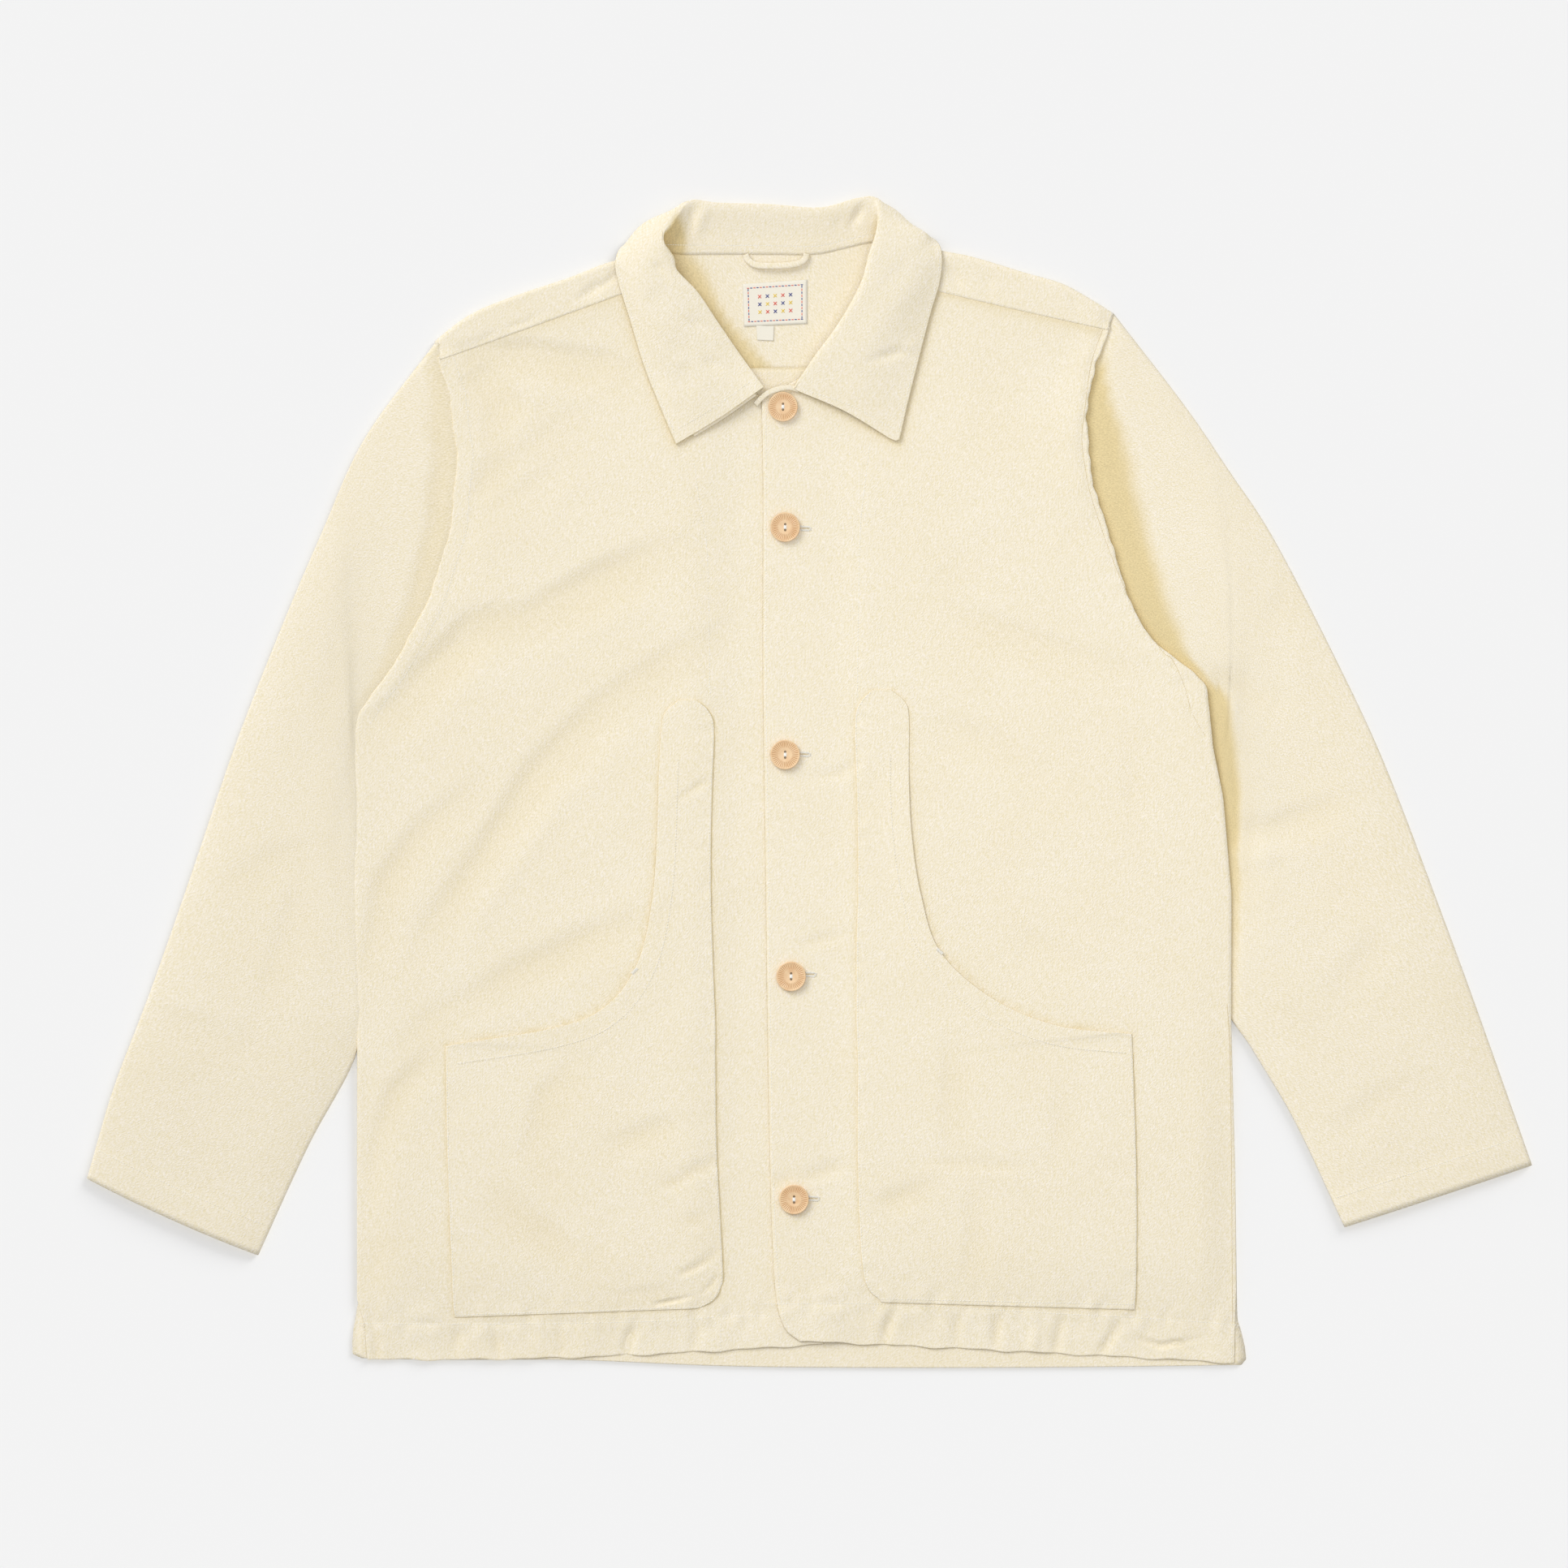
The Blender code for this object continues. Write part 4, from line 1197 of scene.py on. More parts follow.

# The width of each sleeve's trough beside the body, by y, where it sinks and gets painted shade.
SHADE_LEFT = (
    (310, 0.5), (297, 3), (272, 10), (244, 20), (222, 25), (190, 26), (156, 23), (123, 24),
    (101, 21), (82, 9), (68, 6), (57, 13), (24, 15), (-20, 10), (-47, 7), (-157, 3), (-170, 0.1),
)
SHADE_RIGHT = (
    (297, 4), (270, 10), (240, 15), (200, 17), (150, 15), (110, 11), (60, 6), (30, 3), (-20, 2),
    (-170, 0.1),
)

# How far each front is lapped over its sleeve, by y.
LAPS_RIGHT = (
    (-165, 0), (-90, 1.5), (-40, 2.0), (-10, 4.5), (15, 8.0), (35, 9.5), (60, 7.5), (90, 4.0),
    (140, 2.2), (320, 2.2),
)
LAPS_LEFT = (
    (-165, 0), (-90, 2.0), (-20, 3.5), (24, 4.0), (50, 7.0), (68, 8.5), (76, 6.0), (84, 1.0),
    (97, -6.5), (110, -7.0), (123, -5.5), (150, 0.0), (175, 2.2), (320, 2.2),
)


# ---- pieces ----
@dataclass
class Front(ClothPiece):
    """One front panel, and the height field that all that lies on it shares.

    The outer edge has a ridge beside it, is lapped over the sleeve by the table `laps`,
    and is rolled down to `low`. Where it is felled, its seam lies higher. Creases fade out
    towards `neck`, under the collar. Painted shade darkens the cloth in its creases, along
    the lines in `shadows`, round the pocket's strips, on its rims and on its rolled outer edge.
    """

    node: str
    hand: Hand
    rows: tuple[Row, ...]
    creases: tuple[Crease, ...]
    seams: tuple[Sewn, ...]
    steps: tuple[int, int]
    hem_line: Line
    laps: Line
    shadows: tuple[Line, ...]
    pocket: tuple[Strip, ...]
    edge_painted_shade: float
    ridge: float = 0.0
    ridge_width: float = 20.0
    ridge_from: Point = (-30, 90)
    ridge_to: Point = (225, 300)
    neck: Point = (-20, 320)
    calm: Point = (60, 130)
    low: float = 2.2
    rim: int = 4
    hem_rise: float = 0.16
    hem_wave: float = 0.3
    waviness: float = 0.3
    roll: float = 2.2
    felled: float = 0.0

    def plan(self, across: Array, along: Array) -> Array:
        """Plan points of the panel, lapped over the sleeve along the armhole."""
        outer = straight([row.outer for row in self.rows], along)
        middle = between([row.middle for row in self.rows], along, FRONT_CORNERS)
        inner = between([row.inner for row in self.rows], along, FRONT_CORNERS)
        ys, laps = np.array(self.laps).T
        y = outer[:, 1]
        wavy = self.waviness * smooth(y, 40, 90) * waves(y, ARMHOLE_WAVES)
        outer[:, 0] += self.hand.value * (np.interp(y, ys, laps) + wavy)
        plan = bow(outer, middle, inner, across)
        plan[:, 1] += waves(plan[:, 0], HEM_WAVES) * smooth(along, 0.96, 1.0)
        return plan

    def beyond(self, plan: Array, count: int = 200) -> Array:
        """How far outside the panel's outer edge plan points are."""
        rail = self.plan(np.zeros(count), np.linspace(0, 1, count))[::-1]
        return (plan[:, 0] - np.interp(plan[:, 1], rail[:, 1], rail[:, 0])) * self.hand.value

    def edge(self, y: Array) -> tuple[Array, Array]:
        """The outer edge's x and top at each y."""
        ys = [-row.outer[1] for row in self.rows]
        xs = np.interp(-y, ys, [row.outer[0] for row in self.rows])
        return xs, np.interp(-y, ys, [row.edge_top for row in self.rows])

    def base(self, plan: Array) -> Array:
        """Height of the top without its small forms."""
        x, y = plan.T
        edge_x, edge_top = self.edge(y)
        inwards = (edge_x - x) * self.hand.value
        crown = mix(CROWN, YOKE_TOP, smooth(y, *CHEST))
        top = mix(edge_top, crown, smooth(inwards, 0, SIDE_FADE))
        raised = smooth(y, *self.ridge_from) * (1 - 0.9 * smooth(y, *self.ridge_to))
        top += self.ridge * raised * np.exp(-((inwards / self.ridge_width) ** 2))
        top = mix(HEM_TOP, top, smooth(y - self.rows[-1].middle[1], 0, HEM_FADE))
        if self.hand is Hand.RIGHT:
            return mix(top, UNDER_LAP_TOP, smooth(x, *LAP_UNDER))
        return mix(OVER_LAP_TOP, top, smooth(x, *LAP_OVER))

    def top(self, plan: Array) -> Array:
        """Height of the top with creases, puckers and the hem's second layer."""
        small = folded(self.creases, plan) + drawn_in(self.seams, plan)
        small += crumpled(plan, self.hand.value)
        height = self.base(plan) + small * smooth(np.hypot(*(plan - self.neck).T), *self.calm)
        inwards = -self.beyond(plan, 160)
        at_hem = 1 - smooth(plan[:, 1] + 372, -14, 16)
        height += self.hem_wave * np.sin(plan[:, 0] / 6.1 + 2 * rough(plan, 40.0, 3.1)) * at_hem
        height += self.felled * (1 - smooth(inwards, 9.5, 13.5)) * smooth(plan[:, 1], 20, 70)
        hem_y = np.interp(plan[:, 0], *np.array(self.hem_line).T)
        return height + self.hem_rise * (1 - smooth(plan[:, 1] - hem_y, -1.5, 1.5))

    def place(self, across: Array, along: Array) -> Skin:
        """Skin of the panel: a rolled outer rim, then its top."""
        start = self.plan(np.zeros_like(along), along)
        width = np.linalg.norm(start - self.plan(np.ones_like(along), along), axis=1)
        length = self.rows[0].middle[1] - self.rows[-1].middle[1]
        along, on_hem = tucked(along, self.steps[1], RIM / length, (False, True))
        across, on_placket = tucked(across, self.steps[0], RIM / width.mean(), (False, True))
        rolled = self.rim / self.steps[0]
        on_edge = self.plan(np.zeros_like(along), along)
        edge_height = self.top(on_edge)
        drop = np.clip(edge_height - self.low, 0.6, 9.0)
        inset = np.minimum(drop / 2, self.roll) / width
        turn = np.pi / 2 * np.clip(across / rolled, 0, 1)
        flat = inset + (1 - inset) * np.clip((across - rolled) / (1 - rolled), 0, 1)
        part = np.where(across < rolled, inset * (1 - np.cos(turn)), flat)
        plan = self.plan(part, along)
        top = self.top(self.plan(np.maximum(part, inset), along))
        height = np.where(across < rolled, top - drop * (1 - np.sin(turn)), top)
        rim = np.maximum(on_hem, on_placket)
        # Painted shade: on the rolled outer edge, in the creases, along the shadow lines, round the
        # pocket and on the rims.
        side = np.clip(1 - across / rolled, 0, 1) ** 2 * self.edge_painted_shade
        depth = np.clip(-folded(self.creases, plan) / 7.0, 0, 0.16)
        near, far = zip(*self.pocket)
        outline = near + far[::-1]
        for line, reach in (*((line, 3.2) for line in self.shadows), (outline, 1.4)):
            depth = np.maximum(depth, 0.5 * np.exp(-beside(line, plan)[0] / reach))
        drop = RIM_DROP * np.maximum(on_placket, 0.5 * on_hem)
        depth = np.maximum(depth, np.maximum(rim * EDGE_SHADE, side))
        return Skin(on_top(plan, height - drop), plan, depth)

    def line(self, points: Sequence[Point], lift: float = EDGE_RISE) -> Array:
        """A smooth line through plan points, laid on the top, as points in space."""
        plan = smoothed(points)
        return on_top(plan, self.top(plan) + lift)

    def armhole_line(self, inset: float) -> Array:
        """A plan line beside the upper half of the outer edge."""
        along = np.linspace(0.0, 0.5, 120)
        return offset_line(self.plan(np.zeros_like(along), along), inset)


@dataclass
class Back(ClothPiece):
    """The back panel: flat where it rests, with its hem and slits showing."""

    node: str = "back"
    steps: tuple[int, int] = (90, 110)
    wall: float = SOLID_CLOTH
    slot: str = "cotton_inside"
    bottom: float = -392.0
    hem: float = 20.0

    def place(self, across: Array, along: Array) -> Skin:
        """Skin of the panel's upper side."""
        rails = (straight([getattr(level, key) for level in BACK], along) for key in Level._fields)
        plan = bow(*rails, across)
        plan[:, 1] += 1.6 * (1 - smooth(along, 0, 0.02))
        at_hem = 1 - smooth(plan[:, 1] - self.bottom, 0, 25)
        plan[:, 1] += 2.8 * np.exp(-(((plan[:, 0] + 160) / 75) ** 2)) * at_hem
        hem_y = self.bottom + self.hem
        height = SOLID_CLOTH + 0.15 * (1 + rough(plan, 60.0, 8.8))
        height += 0.35 * (1 - smooth(plan[:, 1] - hem_y, -2, 2))
        # Painted shade along the top edge under the yoke, and a slight tint towards the shade colour
        # all over.
        depth = 0.04 + 0.5 * (1 - smooth(along, 0, 0.005))
        return Skin(on_top(plan, height), plan * (-1, 1) + 60.0, depth)


@dataclass
class Yoke(ClothPiece):
    """The back yoke, which comes over the shoulders to the fronts."""

    fronts: tuple[Front, Front]
    node: str = "yoke"
    steps: tuple[int, int] = (8 * (len(YOKE) - 1), 44)
    down: float = 22 / 44
    rolled: float = 6 / 44
    top: float = YOKE_TOP + 0.5
    shaded: Line = ((-96, 353), (-87.7, 344), (-77.8, 334), (-61.9, 310.5), (-26.7, 273.6))
    over: float = 45.0
    end_drop: float = 1.3

    def column(self, across: Array) -> tuple[Array, Array, Array]:
        """The back seam point, the shoulder fold and the front edge point at each column."""
        back_x = between([(c.back_x,) for c in YOKE], across)[:, 0]
        fold = between([c.fold for c in YOKE], across)
        ends = YOKE_SEAM[0][0], YOKE_SEAM[2][0]
        seam = bow(*YOKE_SEAM, np.clip((back_x - ends[0]) / (ends[1] - ends[0]), 0, 1))
        shares = between([(1.0 if c.front is None else c.front,) for c in YOKE], across)[:, 0]
        right, left = (front.rows[0] for front in self.fronts)
        edge = np.where((fold[:, 0] < 0)[:, None], bow(*right[:3], shares), bow(*left[:3], shares))
        edge[:, 1] -= LAPPED - SEAM
        return seam, fold, edge

    def place(self, across: Array, along: Array) -> Skin:
        """Skin: flat under the shoulder, round the fold and over to the front."""
        seam, fold, edge = self.column(across)
        spans = len(YOKE) - 1
        over = ~((across * spans > NECK_FIRST + TINY) & (across * spans < NECK_LAST - TINY))
        inset = np.where(over, FOLD_INSET, 0.0)[:, None]
        towards = seam - fold
        near_down = fold + towards / np.linalg.norm(towards, axis=1)[:, None] * inset
        ahead = edge - fold
        near_up = fold + ahead / np.linalg.norm(ahead, axis=1)[:, None] * inset
        turn_part = np.clip((along - self.down) / self.rolled, 0, 1)
        under = mix(seam, near_down, np.clip(along / self.down, 0, 1)[:, None])
        angle = np.pi * turn_part
        rim = np.where((turn_part < 0.5)[:, None], near_down, near_up)
        round_fold = mix(rim, fold, np.sin(angle)[:, None])
        last_part = 1 - self.down - self.rolled
        over_part = np.clip((along - self.down - self.rolled) / last_part, 0, 1)
        steps = round(self.steps[1] * last_part)
        over_part, rim = tucked(over_part, steps, RIM / self.over, (False, True))
        upper = mix(near_up, edge, over_part[:, None])
        is_over, is_under = along > self.down + self.rolled + TINY, along <= self.down + TINY
        plan = np.where(is_over[:, None], upper, np.where(is_under[:, None], under, round_fold))
        from_end = np.minimum(across, 1 - across) * spans
        top = self.top - self.end_drop * (1 - smooth(from_end, 0, 0.8))
        on_front = np.where(fold[:, 0] < 0, *(front.top(edge) for front in self.fronts)) + 0.3
        top = np.where(is_over, mix(top, on_front, smooth(over_part, 0.4, 1.0)), top)
        height = np.where(is_over, top, top / 2 * (1 - np.cos(angle)))
        shaped = 0.12 * rough(plan, 22.0, 9.9) + folded(CREASES_YOKE, plan)
        shaped = height + shaped * np.sin(np.pi * over_part) ** 0.8 - RIM_DROP * rim
        height = np.where(is_over, shaped, height)
        cloth = np.where(is_under[:, None], plan * (-1, 1) + 40.0, plan)
        # Painted shade on the inside beside the collar's roll, along the line `shaded`, a slight
        # tint elsewhere there, and painted shade on the rim over the front.
        from_roll, beside_roll, _ = beside(self.shaded, plan)
        reach = (21 - 12 * smooth(beside_roll, 0.0, 0.6)) * (1 + 0.15 * rough(plan, 18.0, 2.2))
        shade = (0.04 + 0.86 * (1 - smooth(from_roll, 0.45 * reach, reach))) * is_under
        return Skin(on_top(plan, height), cloth, np.where(is_under, shade, rim * 0.6))

    def keep(self, across: float, along: float) -> bool:
        """Whether the face at a grid position stays: not over the neck."""
        at_neck = NECK_FIRST < across * (len(YOKE) - 1) < NECK_LAST
        return not (at_neck and along > self.down)


@dataclass
class Sleeve(ClothPiece):
    """A sleeve: a tube pressed flat, drawn down beside the armhole.

    The table `shade` gives the width of the trough beside the body by y, `sink` and `dip`
    how far the cloth goes down in it and at the seam, `strength` how much painted shade
    the trough gets, and `meets` how nearly it comes up to the body's edge.
    """

    node: str
    hand: Hand
    rungs: tuple[Rung, ...]
    creases: tuple[Crease, ...]
    front: Front
    shade: Line
    sink: float
    strength: float
    dip: float
    meets: float = 0.0
    closed: bool = True
    steps: tuple[int, int] = (112, 150)
    cuff: float = 21.0
    cuff_rise: float = 0.45
    cuff_pucker: float = 0.25
    least: float = 2.0
    under_body: float = 2.5
    rim: float = 2.2
    tuck: Point = (10.0, 2.5)

    def rails(self, along: Array) -> tuple[Array, Array, Array]:
        """Outer fold, middle and inner fold at positions along the sleeve."""
        return tuple(between([rung[rail] for rung in self.rungs], along) for rail in range(3))

    def trough(self, plan: Array) -> Array:
        """How deep in the trough beside the body plan points are, from 0 to 1."""
        ys, widths = np.array(sorted(self.shade)).T
        width = np.interp(plan[:, 1], ys, widths) * (1 + 0.12 * rough(plan, 24.0, 0.7))
        full = smooth(width, 0.5, 9.0)
        return full * (1 - smooth(self.front.beyond(plan), 0.75 * width, 1.35 * width))

    def top(self, plan: Array, across: Array, along: Array) -> Array:
        """Height of the upper layer."""
        crown = between([(rung.crown + 0.8,) for rung in self.rungs], along)[:, 0]
        sunk = self.sink * self.trough(plan) ** 1.5
        beyond = self.front.beyond(plan)
        seam_dip = self.dip * (1 - smooth(beyond, -2.0, 7.0)) * smooth(plan[:, 1], -170, -140)
        seam_dip += self.under_body * smooth(-beyond, 1.0, 6.0)
        small = folded(self.creases, plan) + crumpled(plan, -self.hand.value)
        from_cuff, _, _ = beside(bow(*self.rungs[-1][:3], np.linspace(0, 1, 12)), plan)
        hem = self.cuff_rise * (1 - smooth(from_cuff, self.cuff - 1.5, self.cuff + 1.5))
        pucker = self.cuff_pucker * rough(plan, 6.5, 4.4)
        pucker *= np.exp(-(((from_cuff - self.cuff) / 7.0) ** 2))
        inside = 1 - np.abs(2 * across - 1) ** 4
        raised = mix(SLEEVE_EDGE, crown, inside) + (small + pucker) * inside + hem
        seam_top = self.front.edge(plan[:, 1])[1] + self.front.felled
        near = self.meets * (1 - smooth(beyond, 2.0, 16.0)) * smooth(plan[:, 1], -175, -150)
        return np.maximum(mix(raised - sunk, seam_top, near) - seam_dip, self.least)

    def place(self, round_way: Array, along: Array) -> Skin:
        """Skin of both layers."""
        outer, middle, inner = self.rails(along)
        step = round_way * 2
        is_top = step > 1
        across = (1 - np.cos(np.pi * np.where(is_top, 2 - step, step))) / 2
        plan = bow(outer, middle, inner, across)
        sideways, upwards = self.tuck
        hand = self.hand.value
        plan[:, 0] -= hand * sideways * (1 - smooth(along, 0, 0.1)) * np.sin(np.pi * across) ** 0.5
        plan[:, 0] -= hand * 4.0 * smooth(across, 0.75, 1.0) * smooth(plan[:, 1], -180, -150)
        first, second = (np.array(rung.outer, float) for rung in self.rungs[:2])
        ahead = (second - first) / np.linalg.norm(second - first)
        plan -= ahead * upwards * (1 - smooth(along, 0, 0.04))[:, None]
        width = np.linalg.norm(inner - outer, axis=1)
        from_edge = np.minimum(across, 1 - across) * width
        round_in = np.sqrt(1 - (1 - np.clip(from_edge / self.rim, 0, 1)) ** 2)
        middle_height = SLEEVE_EDGE / 2
        top = self.top(plan, across, along)
        hidden = 1 - smooth(self.front.beyond(plan), 0.0, 4.0)
        low = np.maximum(middle_height * (1 - round_in), CLOTH * hidden)
        height = np.where(is_top, mix(middle_height, top, round_in), low)
        stops = np.linspace(0, 1, 60)
        down = np.interp(along, stops, run_of(self.rails(stops)[1]))
        side = np.where(is_top, 1, -1) * (across - 0.5) * width
        # Painted shade in the creases, and in the trough beside the body.
        creased = np.clip(-folded(self.creases, plan) / 9.0, 0, 0.12)
        depth = np.maximum(creased, self.strength * self.trough(plan)) * is_top
        return Skin(on_top(plan, height), np.column_stack([side, -down]), depth)

    def cuff_line(self) -> Array:
        """The hem stitch round the upper layer, as points in space."""
        rows = np.linspace(0.8, 1, 80)
        across = np.linspace(0.02, 0.98, 90)
        last = bow(*self.rungs[-1][:3], across)
        found = []
        for part, end in zip(across, last):
            track = bow(*self.rails(rows), np.full(len(rows), part))
            gap = np.linalg.norm(track - end, axis=1)
            found.append((part, float(np.interp(-self.cuff, -gap, rows))))
        parts, alongs = np.array(found).T
        plan = bow(*self.rails(alongs), parts)
        return on_top(plan, self.top(plan, parts, alongs) + 0.1)


@dataclass
class Collar(ClothPiece):
    """The collar with its stand: stands at the back, rolls, and lies on the fronts.

    Each of `corners` gets painted shade inside, by a place, a reach and a strength. Each of
    `pinches` moves the roll sideways, by a place, a reach and a shift.
    """

    fronts: tuple[Front, Front]
    node: str = "collar"
    steps: tuple[int, int] = (230, 72)
    wall: float = COLLAR_CLOTH
    length: float = 540.0
    width: float = 78.0
    corner_radius: float = 3.6
    corners: tuple[tuple, ...] = (((-96, 366), 17.0, 1.3), ((52, 372), 12.0, 0.55))
    pinches: tuple[tuple, ...] = (((-95, 368.5), 6.0, -6.0), ((-93, 354), 5.0, 2.0))
    rails: Array = field(init=False)

    def __post_init__(self) -> None:
        """Work out the six rails from the sections."""
        self.rails = np.stack([self.spots(section) for section in COLLAR], axis=1)

    def spots(self, section: Section) -> Array:
        """Six points of a section: neck, before the roll, roll, after it, leaf, edge."""
        points = np.array([section.neck, section.roll, section.leaf, section.edge], float)
        if section.on is Lying.FRONT:
            for point in points:
                front = self.fronts[0] if point[0] < LAP_EDGE else self.fronts[1]
                point[2] += front.base(point[None, :2])[0]
        neck, roll, leaf, edge = points
        inwards = (neck + leaf) / 2 - roll
        inwards /= np.linalg.norm(inwards)
        apart = neck - leaf
        apart -= inwards * (apart @ inwards)
        apart /= np.linalg.norm(apart)
        half = section.fold / 2
        before, after = (roll + (inwards + side * apart) * half for side in (1, -1))
        return np.stack([neck, before, roll, after, leaf, edge])

    def at(self, along: Array, across: Array) -> Array:
        """Points of the skin."""
        from_end, from_edge = rounded(
            (1 - along) * self.length, (1 - across) * self.width, self.corner_radius
        )
        along, across = 1 - from_end / self.length, 1 - from_edge / self.width
        section = np.stack([between(rail, along) for rail in self.rails])
        points = between(section, across)
        points[:, 2] = np.maximum(points[:, 2], 0.0)
        return points

    def place(self, along: Array, across: Array) -> Skin:
        """Skin, with small folds on the leaves and the stand."""
        along, on_end = tucked(along, self.steps[0], RIM / 520.0)
        across, on_edge = tucked(across, self.steps[1], RIM / self.width, (False, True))
        points = self.at(along, across)
        plan = points[:, :2]
        leaf = smooth(across, 0.55, 0.75)
        small = folded(CREASES_LEAVES, plan) * leaf + 0.18 * rough(plan, 24.0, 7.3)
        stand = 1 - smooth(across, 0.25, 0.5)
        small += folded(CREASES_STAND, plan) * stand * smooth(across, 0.04, 0.2)
        foot = (1 - smooth(across, 0.0, 0.2)) * smooth(plan[:, 1], 345, 354)
        points[:, 2] = mix(points[:, 2], 1.4, foot)
        for (x, y), reach, shift in self.pinches:
            near = np.exp(-(np.hypot(plan[:, 0] - x, plan[:, 1] - y) / reach) ** 2)
            points[:, 0] += shift * near * (1 - smooth(across, 0.38, 0.6))
        points[:, 2] = np.maximum(points[:, 2] + small * (1 - smooth(across, 0.94, 1.0)), 0.0)
        # Painted shade inside the roll's corners, and on the rims.
        rim = np.maximum(on_end, on_edge)
        cloth = plan * (0.97, 1.0) + (13.0, 29.0)
        return Skin(points, cloth, np.maximum(self.depth(points, across), rim * 0.6))

    def depth(self, points: Array, across: Array) -> Array:
        """Painted shade inside the roll: most where the stand turns on the wearer's right."""
        inside = 1 - smooth(across, 0.3, 0.5)
        shade = np.zeros(len(points))
        for (x, y), reach, strength in self.corners:
            near = np.hypot(points[:, 0] - x, (points[:, 1] - y) * 0.6) / reach
            shade = np.maximum(shade, strength * (1 - smooth(near, 0.45, 1.0)))
        return inside * shade

    def edge_path(self, inset: float, lift: float) -> Array:
        """A line beside the free edge of both leaves, as points in space."""
        along = np.concatenate([np.linspace(0.012, 0.30, 80), np.linspace(0.70, 0.988, 80)])
        found = []
        for position in along:
            across = np.linspace(1, 0.6, 40)
            points = self.at(np.full(40, position), across)
            found.append([np.interp(inset, run_of(points), points[:, axis]) for axis in range(3)])
        return np.array(found) + (0, 0, lift)

    def end_path(self, position: float, lift: float) -> Array:
        """A line beside one of the two short front edges."""
        across = np.linspace(0.62, 0.975, 50)
        return self.at(np.full(50, position), across) + (0, 0, lift)

    def neck_path(self, lift: float) -> Array:
        """The stitched line along the foot of the stand, inside the neck."""
        along = np.linspace(0.30, 0.70, 160)
        return self.at(along, np.full(160, 0.035)) + (0, 0, lift)


@dataclass
class Pocket(ClothPiece):
    """A patch pocket that follows the front it lies on, a little open at its curved edge."""

    front: Front
    node: str
    strips: tuple[Strip, ...]
    steps: tuple[int, int] = (110, 246)
    length: float = 415.0
    opening: tuple[float, float] = (2.6, 9.0)
    lie: float = 0.6
    gape: float = 0.8
    drop: float = 0.35

    def ends(self, along: Array) -> tuple[Array, Array]:
        """The two ends of the strips at positions along the pocket."""
        near = between([strip.near for strip in self.strips], along, POCKET_CORNERS)
        far = between([strip.far for strip in self.strips], along, POCKET_CORNERS)
        return near, far

    def lift(self, across: Array, along: Array) -> Array:
        """How far the pocket's top is above the front's."""
        spans = len(self.strips) - 1
        start, stop = self.opening[0] / spans, self.opening[1] / spans
        shut_below = 1 - smooth(along, stop - 0.02, stop + 0.01)
        open_here = smooth(along, start, start + 0.06) * shut_below
        return self.lie + self.gape * open_here * smooth(across, 0.3, 1.0)

    def at(self, across: Array, along: Array) -> Array:
        """Points of the top."""
        across, along = np.asarray(across, float), np.asarray(along, float)
        near, far = self.ends(along)
        plan = mix(near, far, across[:, None])
        seams = (Sewn(tuple(map(tuple, self.outline(5.0))), 0.0, 0.45, 8.0),)
        height = self.front.top(plan) + self.lift(across, along) + drawn_in(seams, plan)
        return on_top(plan, height)

    def outline(self, step: float) -> Array:
        """The sewn edges in plan: the near side, the bottom and the far side up to the opening."""
        down = np.linspace(0.1, 1.0, 40)
        near = self.ends(down)[0]
        corners = (end[-1:] for end in self.ends(np.array([1.0, 1.0])))
        bottom = mix(*corners, np.linspace(0, 1, 20)[:, None])
        up = np.linspace(1.0, self.opening[1] / (len(self.strips) - 1) + 0.01, 20)
        far = self.ends(up)[1]
        return np.concatenate([near, bottom, far])

    def place(self, across: Array, along: Array) -> Skin:
        """Skin of the patch."""
        near, far = self.ends(along)
        width = np.linalg.norm(far - near, axis=1)
        across, on_side = tucked(across, self.steps[0], RIM / width)
        along, on_end = tucked(along, self.steps[1], RIM / self.length)
        rim = np.maximum(on_side, on_end)
        points = self.at(across, along)
        points[:, 2] -= self.drop * rim
        # Painted shade on the rims and in the front's creases.
        creased = np.clip(-folded(self.front.creases, points[:, :2]) / 5.0, 0, 0.22)
        return Skin(points, points[:, :2] + (37.0, 11.0), np.maximum(rim * EDGE_SHADE, creased))

    def edge_path(self, inset: float, lift: float) -> Array:
        """A line along the sewn edges, as points in space: near side, bottom, far side."""
        spans = len(self.strips) - 1
        down = np.linspace(0.02, 0.985, 150)
        near, far = self.ends(down)
        width = np.linalg.norm(far - near, axis=1)
        first = self.at(inset / width, down)
        last = self.at(np.linspace(0.02, 0.985, 60), np.full(60, 0.985))
        up = np.linspace(0.985, self.opening[1] / spans + 0.012, 60)
        near, far = self.ends(up)
        third = self.at(1 - inset / np.linalg.norm(far - near, axis=1), up)
        return np.concatenate([first, last, third]) + (0, 0, lift)

    def opening_path(self, inset: float, lift: float = EDGE_RISE) -> Array:
        """The hem stitch beside the curved opening, as points in space."""
        spans = len(self.strips) - 1
        down = np.linspace(self.opening[0] / spans, self.opening[1] / spans - 0.004, 140)
        far = self.ends(down)[1]
        sign = -1 if far[-1, 0] > far[0, 0] else 1
        plan = offset_line(far, sign * inset)
        height = self.front.top(plan) + self.lie + self.gape * 0.8
        return on_top(plan, height + lift)


@dataclass
class HangerLoop:
    """The narrow folded strip under the neck seam, its middle hanging free."""

    node: str = "hanger_loop"
    path: Line = (
        (-43, 358, 2.6), (-41, 354, 3.0), (-36, 350.8, 3.6), (-27, 350, 4.0), (-15, 350.4, 4.0),
        (-6.5, 352, 3.6), (-2.5, 355, 3.0), (-1.5, 358.5, 2.6),
    )
    width: float = 4.4
    thick: float = 1.7

    def build(self, material: Material) -> Object:
        """Make the loop."""
        made = strip_along(self.node + "_cloth", self.path, self.width, self.thick, material)
        return dressed(made, self.node)


